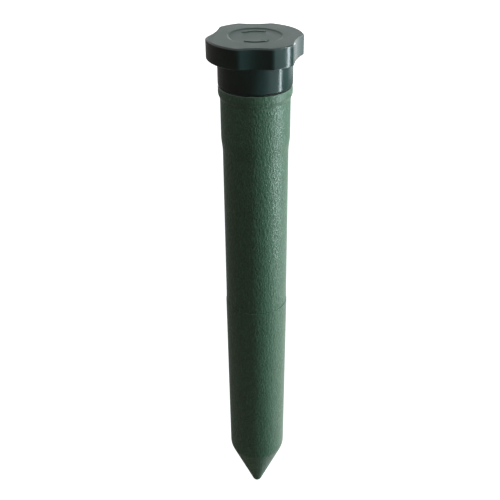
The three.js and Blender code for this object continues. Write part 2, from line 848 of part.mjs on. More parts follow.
// Eight-legged timer chip, legs turned down on both long sides
function timerChip() {
  const footZ = boardTopZ + fitGap;
  const bodyZ = footZ + chipStandoff;
  const topZ = bodyZ + chipHeight;
  const halfLength = chipLength / 2;
  const halfWidth = chipWidth / 2;
  let chip = toSolid(block(-halfLength, halfLength, -halfWidth, halfWidth, bodyZ, topZ));
  const notch = rod(chipNotchRadius, topZ - chipNotchDepth, topZ + cutOverrun, tinySegments);
  chip = chip.subtract(toSolid(notch.translate(-halfLength, 0, 0)));
  const legTopZ = bodyZ + chipHeight / 2;
  for (let leg = 0; leg < chipLegs; leg += 1) {
    const x = (leg - (chipLegs - 1) / 2) * chipLegPitch;
    const outerY = halfWidth + chipLegThickness;
    const left = x - chipLegWidth / 2;
    const right = x + chipLegWidth / 2;
    const arm = block(left, right, -outerY, outerY, legTopZ - chipLegThickness, legTopZ);
    chip = chip.add(toSolid(arm));
    for (const side of [0, 1]) {
      const shin = block(left, right, halfWidth, outerY, footZ, legTopZ);
      const turned = side === 0 ? shin : shin.rotateZ(Math.PI).translate(2 * x, 0, 0);
      chip = chip.add(toSolid(turned));
    }
  }
  return toGeometry(chip).translate(0, chipY, 0);
}

function capacitorCan() {
  const bottomZ = boardTopZ + fitGap;
  const outline = [
    vec(0, bottomZ),
    vec(canRadius, bottomZ),
    vec(canRadius, bottomZ + canGrooveHeight - canGroove),
    vec(canRadius - canGroove, bottomZ + canGrooveHeight),
    vec(canRadius, bottomZ + canGrooveHeight + canGroove),
    vec(canRadius, bottomZ + canHeight - canGroove),
    vec(canRadius - canGroove, bottomZ + canHeight),
    vec(0, bottomZ + canHeight),
  ];
  return revolve(outline, smallSegments).translate(canX, canY, 0);
}

// Small transistor: a round body with one flat side, on three legs
function transistor() {
  const footZ = boardTopZ + fitGap;
  const bodyZ = footZ + transistorStandoff;
  const flatHalf = Math.acos(transistorFlat / transistorRadius);
  const shape = new THREE.Shape();
  shape.absarc(0, 0, transistorRadius, flatHalf - Math.PI / 2, (3 * Math.PI) / 2 - flatHalf, false);
  let body = toSolid(extrudeUp(shape, bodyZ, bodyZ + transistorHeight));
  for (const leg of [-1, 0, 1]) {
    const wire = rod(transistorLegRadius, footZ, bodyZ + transistorHeight / 2, tinySegments);
    body = body.add(toSolid(wire.translate(leg * transistorLegPitch, 0, 0)));
  }
  return toGeometry(body).translate(transistorX, transistorY, 0);
}

// Resistor with a waisted body, its leads bent down to the board
function biasResistor() {
  const half = resistorLength / 2;
  const outline = [
    vec(0, -half),
    vec(resistorRadius, -half),
    vec(resistorRadius, -half * resistorBandShare),
    vec(resistorRadius - resistorWaist, -half * resistorWaistShare),
    vec(resistorRadius - resistorWaist, half * resistorWaistShare),
    vec(resistorRadius, half * resistorBandShare),
    vec(resistorRadius, half),
    vec(0, half),
  ];
  const bodyZ = boardTopZ + fitGap + resistorLift;
  const body = revolve(outline, tinySegments).rotateY(Math.PI / 2).translate(0, 0, bodyZ);
  let solid = toSolid(body);
  const reach = resistorSpan / 2;
  const wire = rod(resistorLeadRadius, -reach, reach, leadSides);
  solid = solid.add(toSolid(wire.rotateY(Math.PI / 2).translate(0, 0, bodyZ)));
  for (const side of [-1, 1]) {
    const leg = rod(resistorLeadRadius, boardTopZ + fitGap, bodyZ + resistorLeadRadius, leadSides);
    solid = solid.add(toSolid(leg.translate(side * reach, 0, 0)));
  }
  return toGeometry(solid).translate(0, resistorY, 0);
}

// Drawn steel can, open at the top, with a bearing boss on its face
function motorCan() {
  const faceTopZ = motorZ + motorFace;
  const outline = [
    vec(shaftRadius + fitGap, motorZ - motorBossHeight),
    vec(motorBossRadius, motorZ - motorBossHeight),
    vec(motorBossRadius, motorZ),
    vec(motorRadius - motorEdge, motorZ),
    vec(motorRadius, motorZ + motorEdge),
    vec(motorRadius, motorCanTopZ),
    vec(motorRadius - motorWall, motorCanTopZ),
    vec(motorRadius - motorWall, faceTopZ),
    vec(shaftRadius + fitGap, faceTopZ),
  ];
  let can = toSolid(revolve(outline, smallSegments));
  for (const side of [-1, 1]) {
    const hole = rod(motorScrewRadius + fitGap, motorZ - cutOverrun, faceTopZ + cutOverrun, tinySegments);
    can = can.subtract(toSolid(hole.translate(side * motorScrewX, 0, 0)));
  }
  return toGeometry(can);
}

function motorMagnet(side) {
  const outerRadius = motorRadius - motorWall - fitGap;
  const innerRadius = outerRadius - magnetThickness;
  const shape = new THREE.Shape();
  shape.absarc(0, 0, outerRadius, -magnetSpan / 2, magnetSpan / 2, false);
  shape.absarc(0, 0, innerRadius, magnetSpan / 2, -magnetSpan / 2, true);
  const bottomZ = motorZ + motorFace + magnetInset;
  const topZ = motorCanTopZ - endPlugHeight - magnetInset;
  return extrudeUp(shape, bottomZ, topZ).rotateZ(side * Math.PI + Math.PI / 2);
}

// Three-pole core with its commutator, turning inside the magnets
function motorArmature() {
  const faceRadius = motorRadius - motorWall - fitGap - magnetThickness - runGap;
  const bottomZ = motorZ + motorFace + armatureInset;
  const topZ = motorCanTopZ - endPlugHeight - armatureInset;
  const poleHalf = (Math.PI / poleCount) * poleFaceShare;
  let core = toSolid(rod(poleHubRadius, bottomZ, topZ, smallSegments));
  for (let pole = 0; pole < poleCount; pole += 1) {
    const face = new THREE.Shape();
    face.absarc(0, 0, faceRadius, -poleHalf, poleHalf, false);
    face.absarc(0, 0, faceRadius - poleFaceThickness, poleHalf, -poleHalf, true);
    const turn = (2 * Math.PI * pole) / poleCount;
    const arc = extrudeUp(face, bottomZ, topZ).rotateZ(turn);
    const halfNeck = poleNeckWidth / 2;
    const neckReach = faceRadius - poleFaceThickness / 2;
    const neck = block(0, neckReach, -halfNeck, halfNeck, bottomZ, topZ).rotateZ(turn);
    core = core.add(toSolid(arc)).add(toSolid(neck));
  }
  const endZ = topZ + commutatorLength;
  core = core.add(toSolid(rod(commutatorRadius, topZ - cutOverrun, endZ, tinySegments)));
  const bore = rod(shaftRadius + fitGap, bottomZ - cutOverrun, endZ + cutOverrun, tinySegments);
  return toGeometry(core.subtract(toSolid(bore)));
}

function motorShaft() {
  return rod(shaftRadius, weightZ - shaftTail, shaftTopZ, tinySegments);
}

// Moulded brush cover that plugs the can, with a blind bearing for the shaft's end
function motorEndCap() {
  const plugZ = motorCanTopZ - endPlugHeight;
  const plugRadius = motorRadius - motorWall - fitGap;
  const outline = [
    vec(shaftRadius + fitGap, plugZ),
    vec(plugRadius, plugZ),
    vec(plugRadius, endFlangeZ),
    vec(motorRadius, endFlangeZ),
    vec(motorRadius, endFlangeTopZ),
    vec(endBossRadius, endFlangeTopZ),
    vec(endBossRadius, motorTopZ),
    vec(0, motorTopZ),
    vec(0, motorTopZ - endBossWall),
    vec(shaftRadius + fitGap, motorTopZ - endBossWall),
  ];
  return revolve(outline, smallSegments);
}

function motorTerminal(side) {
  const x = side * terminalX;
  const halfThickness = terminalThickness / 2;
  const halfWidth = terminalWidth / 2;
  const bottomZ = endFlangeTopZ + fitGap;
  const topZ = bottomZ + terminalHeight;
  return block(x - halfThickness, x + halfThickness, -halfWidth, halfWidth, bottomZ, topZ);
}

// Half-round brass weight with a hub, fixed on the shaft below the cradle
function eccentricWeight() {
  const shape = new THREE.Shape();
  shape.absarc(0, 0, weightRadius, 0, Math.PI, false);
  let weight = toSolid(extrudeUp(shape, weightZ, weightTopZ));
  weight = weight.add(toSolid(rod(weightHubRadius, weightZ, weightTopZ, smallSegments)));
  const bore = rod(shaftRadius + fitGap, weightZ - cutOverrun, weightTopZ + cutOverrun, tinySegments);
  return toGeometry(weight.subtract(toSolid(bore)));
}

// Insulated lead that leaves and arrives upright, with a soft bend between
function lead(from, to) {
  const handle = new THREE.Vector3(0, 0, (to.z - from.z) / 2);
  const curve = new THREE.CubicBezierCurve3(from, from.clone().add(handle), to.clone().sub(handle), to);
  const section = new THREE.Shape();
  section.absarc(0, 0, leadRadius, 0, 2 * Math.PI, false);
  const settings = { steps: leadSteps, curveSegments: leadSides / 2, bevelEnabled: false };
  return new THREE.ExtrudeGeometry(section, { ...settings, extrudePath: curve });
}

addPiece('screw_cap', screwCap(), 'capPlastic');
addPiece('cap_seal_ring', capSealRing(), 'rubber');
addPiece('cap_contact_cup', contactCup(), 'contactBrass');
addPiece('contact_rivet', contactRivet(), 'contactBrass');
addPiece('battery_spring', wireTube(springPath(), springWire / 2, springSides), 'springSteel');
addPiece('upper_tube', upperTube(), 'stakePlastic');
addPiece('lower_tube', lowerTube(), 'stakePlastic');
addPiece('tube_joint_seal', jointSeal(), 'rubber');
addPiece('neck_contact_ring', neckRing(), 'contactBrass');
addPiece('return_strip', returnStrip(), 'contactBrass');
for (let index = 1; index <= cellCount; index += 1) {
  addPiece(`battery_${index}`, dryCell(index), 'cellJacket');
}
addPiece('positive_contact', plusContact(), 'contactBrass');
addPiece('drive_cradle', driveCradle(), 'cradlePlastic');
addPiece('circuit_board', circuitBoard(), 'laminate');
addPiece('timer_chip', timerChip(), 'chipBlack');
addPiece('capacitor', capacitorCan(), 'canSleeve');
addPiece('drive_transistor', transistor(), 'chipBlack');
addPiece('bias_resistor', biasResistor(), 'resistorBody');
addPiece('motor_can', motorCan(), 'motorSteel');
addPiece('motor_magnet_front', motorMagnet(1), 'ferrite');
addPiece('motor_magnet_back', motorMagnet(0), 'ferrite');
addPiece('motor_armature', motorArmature(), 'motorSteel');
addPiece('motor_shaft', motorShaft(), 'springSteel');
addPiece('motor_end_cap', motorEndCap(), 'endCapPlastic');
addPiece('motor_terminal_plus', motorTerminal(1), 'contactBrass');
addPiece('motor_terminal_minus', motorTerminal(-1), 'contactBrass');
addPiece('eccentric_weight', eccentricWeight(), 'contactBrass');

const cradleScrewZ = cradleZ + cradleFloor + fitGap;
const motorScrewReach = cradleFloor + fitGap + motorFace + fitGap;
for (const [number, side] of [[1, -1], [2, 1]]) {
  const cradleScrew = panScrew(screwRadius, true, cradleScrewZ, cradleScrewLength);
  addPiece(`cradle_screw_${number}`, cradleScrew.translate(0, side * cradleScrewRing, 0), 'springSteel');
  const motorScrew = panScrew(motorScrewRadius, false, cradleZ - fitGap, motorScrewReach);
  addPiece(`motor_screw_${number}`, motorScrew.translate(side * motorScrewX, 0, 0), 'springSteel');
}

const leadFromZ = endFlangeTopZ + fitGap + terminalHeight + fitGap;
const leadToZ = boardZ - fitGap;
const motorLeads = [
  ['motor_lead_red', 1, 'leadRed'],
  ['motor_lead_black', -1, 'leadBlack'],
];
for (const [name, side, finish] of motorLeads) {
  const from = new THREE.Vector3(side * terminalX, 0, leadFromZ);
  const to = new THREE.Vector3(from.x - side * motorLeadSpread, side * motorLeadSpread, leadToZ);
  addPiece(name, lead(from, to), finish);
}
const feedFrom = new THREE.Vector3(0, -plusTabReach + stripThickness / 2, deckZ - plusTabDrop - fitGap);
const feedTo = new THREE.Vector3(feedLeadSpread, feedFrom.y + feedLeadSpread, boardTopZ + fitGap);
addPiece('battery_feed_lead', lead(feedTo, feedFrom), 'leadRed');

console.log(`battery_spring: least gap to itself ${springSelfGap().toFixed(2)} mm`);

export default stake;
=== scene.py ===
import math

import bpy
from mathutils import Euler, Matrix, Vector


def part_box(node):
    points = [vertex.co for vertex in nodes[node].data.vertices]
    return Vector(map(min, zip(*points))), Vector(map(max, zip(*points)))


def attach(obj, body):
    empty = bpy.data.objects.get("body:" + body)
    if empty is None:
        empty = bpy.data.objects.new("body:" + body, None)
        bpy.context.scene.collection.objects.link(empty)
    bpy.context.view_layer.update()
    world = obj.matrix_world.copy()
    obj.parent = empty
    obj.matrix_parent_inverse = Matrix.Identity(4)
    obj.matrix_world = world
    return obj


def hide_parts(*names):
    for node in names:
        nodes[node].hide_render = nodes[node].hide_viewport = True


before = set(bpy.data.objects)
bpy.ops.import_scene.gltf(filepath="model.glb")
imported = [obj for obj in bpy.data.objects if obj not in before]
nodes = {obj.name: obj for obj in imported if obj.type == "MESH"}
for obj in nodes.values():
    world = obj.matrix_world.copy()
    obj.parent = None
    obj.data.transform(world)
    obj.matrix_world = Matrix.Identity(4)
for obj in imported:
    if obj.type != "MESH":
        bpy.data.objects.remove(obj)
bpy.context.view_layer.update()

mm = 0.001

# Camera
# It looks down on the stake from a little above the cap, through a short tele lens.
# The stake leans a third of a degree in the picture, so the camera is rolled by as much.
camera_back = 498 * mm
camera_height = 539.7 * mm
camera_pitch = math.radians(31)
camera_roll = math.radians(-0.28)
lens_length = 56.16
picture_width = 500
axis_from_middle = 6.1

bpy.ops.object.camera_add(location=(0, -camera_back, camera_height))
camera = bpy.context.object
camera.data.lens = lens_length
camera.data.shift_x = -axis_from_middle / picture_width
camera.data.clip_start = 10 * mm
aim = Euler((math.pi / 2 - camera_pitch, 0, 0)).to_matrix() @ Matrix.Rotation(camera_roll, 3, "Z")
camera.rotation_euler = aim.to_euler()
scene = bpy.context.scene
scene.camera = camera
scene.view_settings.view_transform = "Standard"


# Backdrop
# White surroundings that the camera and reflections see, while the soft light that they give is dimmer.
def add_node(tree, kind, inputs=None, **settings):
    made = tree.nodes.new(kind)
    for name, value in settings.items():
        setattr(made, name, value)
    for socket, value in (inputs or {}).items():
        if isinstance(value, bpy.types.NodeSocket):
            tree.links.new(value, made.inputs[socket])
        else:
            made.inputs[socket].default_value = value
    return made


def seen_directly(tree, but_dimmed):
    """1 where a camera, glossy or transmission ray looks, and a lower level for light on matt surfaces."""
    ray = add_node(tree, "ShaderNodeLightPath")
    seen = ray.outputs["Is Camera Ray"]
    for kind in ("Is Glossy Ray", "Is Transmission Ray"):
        either = add_node(tree, "ShaderNodeMath", {0: seen, 1: ray.outputs[kind]}, operation="MAXIMUM")
        seen = either.outputs[0]
    level = add_node(tree, "ShaderNodeMapRange", {"Value": seen, "To Min": but_dimmed, "To Max": 1.0})
    return level.outputs["Result"]


soft_light_level = 0.009
surroundings = bpy.data.worlds.new("pale_surroundings")
surroundings.use_nodes = True
scene.world = surroundings
sky = surroundings.node_tree
sky.nodes.clear()
sky_strength = seen_directly(sky, but_dimmed=soft_light_level)
glow = add_node(sky, "ShaderNodeBackground", {"Color": (1, 1, 1, 1), "Strength": sky_strength})
add_node(sky, "ShaderNodeOutputWorld", {"Surface": glow.outputs[0]})

# Lamps
# A tall narrow strip on the right gives the key light and the long thin highlight.
# Broad weak panels round it soften its edge, and two more behind and on the left open the far sides.
# The right-hand panel stands higher than the others, so that the upright walls of the cap don't mirror it.
lamp_foot = 10 * mm


def add_panel(name, azimuth, distance, width, height, power, tint=(1, 1, 1), foot=lamp_foot):
    """An upright lamp that faces the stake's axis, at an azimuth counted from the front towards the right."""
    turn = math.radians(azimuth)
    middle = foot + height / 2
    place = Vector((distance * math.sin(turn), -distance * math.cos(turn), middle))
    bpy.ops.object.light_add(type="AREA", location=place)
    lamp = bpy.context.object
    lamp.name = name
    lamp.data.shape = "RECTANGLE"
    lamp.data.size = width
    lamp.data.size_y = height
    lamp.data.energy = power
    lamp.data.color = tint
    lamp.rotation_euler = (math.pi / 2, 0, turn)
    lamp.visible_camera = False


add_panel(
    "strip_right", azimuth=80, distance=450 * mm, width=38 * mm, height=900 * mm, power=2.05,
    tint=(0.88, 1, 1.06),
)
add_panel(
    "panel_right", azimuth=108, distance=1000 * mm, width=560 * mm, height=900 * mm, power=3.4,
    tint=(0.89, 1, 1.07), foot=130 * mm,
)
add_panel(
    "panel_right_back", azimuth=138, distance=1100 * mm, width=900 * mm, height=900 * mm, power=2.6,
    tint=(0.95, 1, 1.02),
)
add_panel("panel_right_front", azimuth=48, distance=1500 * mm, width=900 * mm, height=900 * mm, power=0.8)
add_panel("panel_back", azimuth=176, distance=1900 * mm, width=1360 * mm, height=610 * mm, power=16.0)
add_panel("panel_left", azimuth=-105, distance=1400 * mm, width=800 * mm, height=700 * mm, power=0.16)


# Floor
# A matt pale sheet that the point of the stake touches.
def colour(code):
    """An sRGB hex code as the linear values that shaders take."""
    parts = [int(code[place:place + 2], 16) / 255 for place in (0, 2, 4)]
    return (*[part / 12.92 if part <= 0.04045 else ((part + 0.055) / 1.055) ** 2.4 for part in parts], 1)


def new_material(name):
    made = bpy.data.materials.new(name)
    made.use_nodes = True
    made.node_tree.nodes.clear()
    return made, made.node_tree


floor_size = 12
floor_glow = 0.96
bpy.ops.object.select_all(action="DESELECT")
bpy.ops.mesh.primitive_plane_add(size=floor_size)
floor = bpy.context.object
floor.name = "floor"
# Matt paper scatters all light, and here it also glows, so the eye sees a white ground with a faint shadow.
paper, tree = new_material("pale_paper")
matt = add_node(tree, "ShaderNodeBsdfDiffuse", {"Color": colour("b8b8b8")})
seen = seen_directly(tree, but_dimmed=0.0)
lift = add_node(tree, "ShaderNodeMath", {0: seen, 1: floor_glow}, operation="MULTIPLY")
white = add_node(tree, "ShaderNodeEmission", {"Color": (1, 1, 1, 1), "Strength": lift.outputs[0]})
both = add_node(tree, "ShaderNodeAddShader", {0: matt.outputs[0], 1: white.outputs[0]})
add_node(tree, "ShaderNodeOutputMaterial", {"Surface": both.outputs[0]})
floor.data.materials.append(paper)

# Graded card of painted reflections
# A glowing sheet that only reflections see: painted shade at the front and left, painted light on the right.
# It is palest round the stake, with a painted shadow close to the point, where the cone mirrors it.
# Its painted reflected shade keeps the stake's left side deep.
card_size = 8
card_height = 1 * mm
near_reach = 600 * mm
far_reach = 1100 * mm
foot_inside = 10 * mm
foot_outside = 80 * mm
painted_shadow_level = 0.7
# The grades paint reflected shade at the front and left, and reflected light on the right.
far_grades = [
    (-180, "808080"), (-134, "72706d"), (-99, "6d655e"), (-60, "6a6157"), (0, "6c6a66"), (22, "8c949a"),
    (34, "a8b2b8"), (47, "eaf6fa"), (66, "f0ffff"), (90, "8c9498"), (112, "8c9496"), (142, "6c7072"),
    (180, "808080"),
]
near_grades = [
    (-180, "b0b0b0"), (-134, "72706d"), (-60, "6a6157"), (0, "6a6158"), (34, "70787a"), (62, "d8e8e6"),
    (90, "ffffff"), (142, "ffffff"), (180, "b0b0b0"),
]


def graded_round(tree, share, grades):
    """A colour that changes round the stake, from grades by azimuth."""
    made = add_node(tree, "ShaderNodeValToRGB", {"Fac": share})
    stops = made.color_ramp.elements
    for azimuth, code in grades[1:-1]:
        stops.new(azimuth / 360 + 0.5).color = colour(code)
    stops[0].color = colour(grades[0][1])
    stops[len(stops) - 1].color = colour(grades[-1][1])
    return made.outputs["Color"]


bpy.ops.object.select_all(action="DESELECT")
bpy.ops.mesh.primitive_plane_add(size=card_size, location=(0, 0, card_height))
card = bpy.context.object
card.name = "painted_reflection_card"
bpy.ops.object.transform_apply(location=True, rotation=True, scale=True)
graded, tree = new_material("painted_reflection_glow")
place = add_node(tree, "ShaderNodeTexCoord").outputs["Object"]
across = add_node(tree, "ShaderNodeSeparateXYZ", {"Vector": place})
ahead = add_node(tree, "ShaderNodeMath", {0: across.outputs["Y"], 1: -1.0}, operation="MULTIPLY")
turn = add_node(tree, "ShaderNodeMath", {0: across.outputs["X"], 1: ahead.outputs[0]}, operation="ARCTAN2")
share = add_node(tree, "ShaderNodeMapRange", {
    "Value": turn.outputs[0], "From Min": -math.pi, "From Max": math.pi,
})
reach = add_node(tree, "ShaderNodeVectorMath", {0: place}, operation="LENGTH")
far_share = add_node(tree, "ShaderNodeMapRange", {
    "Value": reach.outputs["Value"], "From Min": near_reach, "From Max": far_reach,
}, interpolation_type="SMOOTHSTEP")
grade = add_node(tree, "ShaderNodeMix", {
    "Factor": far_share.outputs[0],
    "A": graded_round(tree, share.outputs[0], near_grades),
    "B": graded_round(tree, share.outputs[0], far_grades),
}, data_type="RGBA")
# Painted shadow: the card turns darker close to the point, where the cone mirrors it.
painted_foot_shadow = add_node(tree, "ShaderNodeMapRange", {
    "Value": reach.outputs["Value"], "From Min": foot_inside, "From Max": foot_outside,
    "To Min": painted_shadow_level, "To Max": 1.0,
}, interpolation_type="SMOOTHSTEP")
# The sheet glows with the painted grades, though it is no lamp.
sheet = add_node(tree, "ShaderNodeEmission", {
    "Color": grade.outputs["Result"], "Strength": painted_foot_shadow.outputs[0],
})
add_node(tree, "ShaderNodeOutputMaterial", {"Surface": sheet.outputs[0]})
card.data.materials.append(graded)
card.visible_camera = False
card.visible_diffuse = False
card.visible_transmission = False
card.visible_shadow = False

# Lower tube
# The half that is driven into the soil: a drafted tube that turns into a cone with a blunt point.
# Injection moulded from green polypropylene, with a wrinkle that was spark-eroded into the mould.
# This half reaches up to the other one, across the gap that the solids leave at the seam.
lower_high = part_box("lower_tube")[1]
seam_gap = 0.2 * mm
seam_top = lower_high.z + seam_gap
seam_radius = lower_high.x
cone_top = 48.6 * mm
cone_radius = 22.45 * mm
tip_round = 4.1 * mm
cone_blend = 16 * mm
seam_edge = 0.15 * mm
socket_radius = 21.6 * mm
socket_bottom = 184.2 * mm
bore_at_seam = 19.9 * mm
bore_at_cone = 19.5 * mm
bore_floor_radius = 5 * mm
bore_floor = 20.35 * mm
rib_inside = 17.4 * mm
rib_half_width = 0.9 * mm
lower_rib_top = socket_bottom - 0.1 * mm
seat = 71.7 * mm
seat_rib_inside = 12.9 * mm
screw_ring = 14.9 * mm
boss_radius = 3 * mm
pilot_radius = 1.4 * mm
pilot_depth = 14 * mm
rib_bite = 1.4 * mm
cut_overrun = 2 * mm
round_steps = 160
boss_steps = 32
pilot_steps = 24


def arc(before, corner, after, radius, steps):
    """Points of the arc that rounds a corner of an outline and touches both of its sides."""
    before, corner, after = Vector(before), Vector(corner), Vector(after)
    back = (before - corner).normalized()
    ahead = (after - corner).normalized()
    half = math.acos(max(-1, min(1, back.dot(ahead)))) / 2
    centre = corner + (back + ahead).normalized() * radius / math.sin(half)
    start = corner + back * radius / math.tan(half) - centre
    end = corner + ahead * radius / math.tan(half) - centre
    sweep = math.atan2(start.x * end.y - start.y * end.x, start.dot(end))
    return [tuple(centre + Matrix.Rotation(sweep * step / steps, 2) @ start) for step in range(steps + 1)]


def turned(name, outline):
    """A solid round body: a disc at the outline's first point, extruded and resized from point to point."""
    radius, height = outline[0]
    foot = (0, 0, height)
    bpy.ops.object.select_all(action="DESELECT")
    bpy.ops.mesh.primitive_circle_add(vertices=round_steps, radius=radius, fill_type="NGON", location=foot)
    made = bpy.context.object
    made.name = name
    made.data.name = name
    bpy.ops.object.mode_set(mode="EDIT")
    bpy.ops.mesh.select_all(action="SELECT")
    for next_radius, next_height in outline[1:]:
        bpy.ops.mesh.extrude_region_move(TRANSFORM_OT_translate={"value": (0, 0, next_height - height)})
        grow = next_radius / radius
        bpy.ops.transform.resize(value=(grow, grow, 1), center_override=(0, 0, next_height))
        radius, height = next_radius, next_height
    bpy.ops.mesh.select_all(action="SELECT")
    bpy.ops.mesh.normals_make_consistent(inside=False)
    bpy.ops.object.mode_set(mode="OBJECT")
    bpy.ops.object.transform_apply(location=True, rotation=True, scale=True)
    return made


def upright_rod(radius, length, middle, steps):
    bpy.ops.object.select_all(action="DESELECT")
    bpy.ops.mesh.primitive_cylinder_add(vertices=steps, radius=radius, depth=length, location=middle)
    return bpy.context.object


def combine(body, tool, operation):
    """Cuts the tool out of the body, or fuses it on, and removes the tool."""
    bpy.ops.object.select_all(action="DESELECT")
    bpy.context.view_layer.objects.active = body
    body.select_set(True)
    step = body.modifiers.new("combine", "BOOLEAN")
    step.object = tool
    step.operation = operation
    step.solver = "EXACT"
    bpy.ops.object.modifier_apply(modifier=step.name)
    bpy.data.objects.remove(tool)


def smooth(piece, degrees=28):
    bpy.ops.object.select_all(action="DESELECT")
    bpy.context.view_layer.objects.active = piece
    piece.select_set(True)
    bpy.ops.object.shade_smooth_by_angle(angle=math.radians(degrees))
    even = piece.modifiers.new("even_normals", "WEIGHTED_NORMAL")
    even.keep_sharp = True
    bpy.ops.object.modifier_apply(modifier=even.name)


def upright_ribs(name, inside, outside, bottom, top, turns):
    """Upright ribs from the wall towards the axis, one at each of the turns from the right-hand side."""
    ribs = None
    for turn in turns:
        bpy.ops.object.select_all(action="DESELECT")
        middle = ((inside + outside) / 2, 0, (bottom + top) / 2)
        bpy.ops.mesh.primitive_cube_add(size=1, location=middle)
        rib = bpy.context.object
        rib.name = name
        rib.scale = (outside - inside, 2 * rib_half_width, top - bottom)
        bpy.ops.object.transform_apply(location=True, rotation=True, scale=True)
        bpy.ops.object.mode_set(mode="EDIT")
        bpy.ops.mesh.select_all(action="SELECT")
        bpy.ops.transform.rotate(value=-turn, orient_axis="Z", center_override=(0, 0, 0))
        bpy.ops.object.mode_set(mode="OBJECT")
        if ribs:
            combine(ribs, rib, "UNION")
        else:
            ribs = rib
    return ribs


quarter_turns = [math.pi / 2 * place for place in range(4)]
between_turns = [math.pi / 4 + turn for turn in quarter_turns]
slant = math.hypot(cone_radius, cone_top - tip_round)
cone_angle = math.atan2(cone_radius, cone_top - tip_round) - math.asin(tip_round / slant)
tip_steps = 8
tip = []
for step in range(1, tip_steps + 1):
    angle = -math.pi / 2 + (math.pi / 2 - cone_angle) * step / tip_steps
    tip.append((tip_round * math.cos(angle), tip_round + tip_round * math.sin(angle)))
lower_tube = turned("lower_tube_moulding", [
    *tip,
    *arc(tip[-1], (cone_radius, cone_top), (seam_radius, seam_top), cone_blend, steps=12),
    *arc((cone_radius, cone_top), (seam_radius, seam_top), (0, seam_top), seam_edge, steps=4),
])
lower_bore = turned("lower_bore", [
    (bore_floor_radius, bore_floor),
    (bore_at_cone, cone_top),
    (bore_at_seam, socket_bottom),
    (socket_radius, socket_bottom),
    (socket_radius, seam_top + cut_overrun),
])
combine(lower_tube, lower_bore, "DIFFERENCE")
lower_ribs = upright_ribs("lower_ribs", rib_inside, cone_radius, bore_floor, lower_rib_top, between_turns)
for side in (-1, 1):
    boss_middle = (0, side * screw_ring, (bore_floor + seat) / 2)
    boss = upright_rod(boss_radius, seat - bore_floor, boss_middle, boss_steps)
    combine(lower_ribs, boss, "UNION")
seat_ribs = upright_ribs("seat_ribs", seat_rib_inside, cone_radius, bore_floor, seat, quarter_turns[0::2])
combine(lower_ribs, seat_ribs, "UNION")
boss_ribs = upright_ribs("boss_ribs", screw_ring, cone_radius, bore_floor, seat, quarter_turns[1::2])
combine(lower_ribs, boss_ribs, "UNION")
rib_envelope = turned("rib_envelope", [
    (bore_floor_radius + rib_bite, bore_floor - rib_bite),
    (bore_at_cone + rib_bite, cone_top),
    (bore_at_seam + rib_bite, socket_bottom),
])
combine(lower_ribs, rib_envelope, "INTERSECT")
combine(lower_tube, lower_ribs, "UNION")
for side in (-1, 1):
    pilot_middle = (0, side * screw_ring, seat + cut_overrun / 2 - pilot_depth / 2)
    pilot = upright_rod(pilot_radius, pilot_depth + cut_overrun, pilot_middle, pilot_steps)
    combine(lower_tube, pilot, "DIFFERENCE")
smooth(lower_tube)


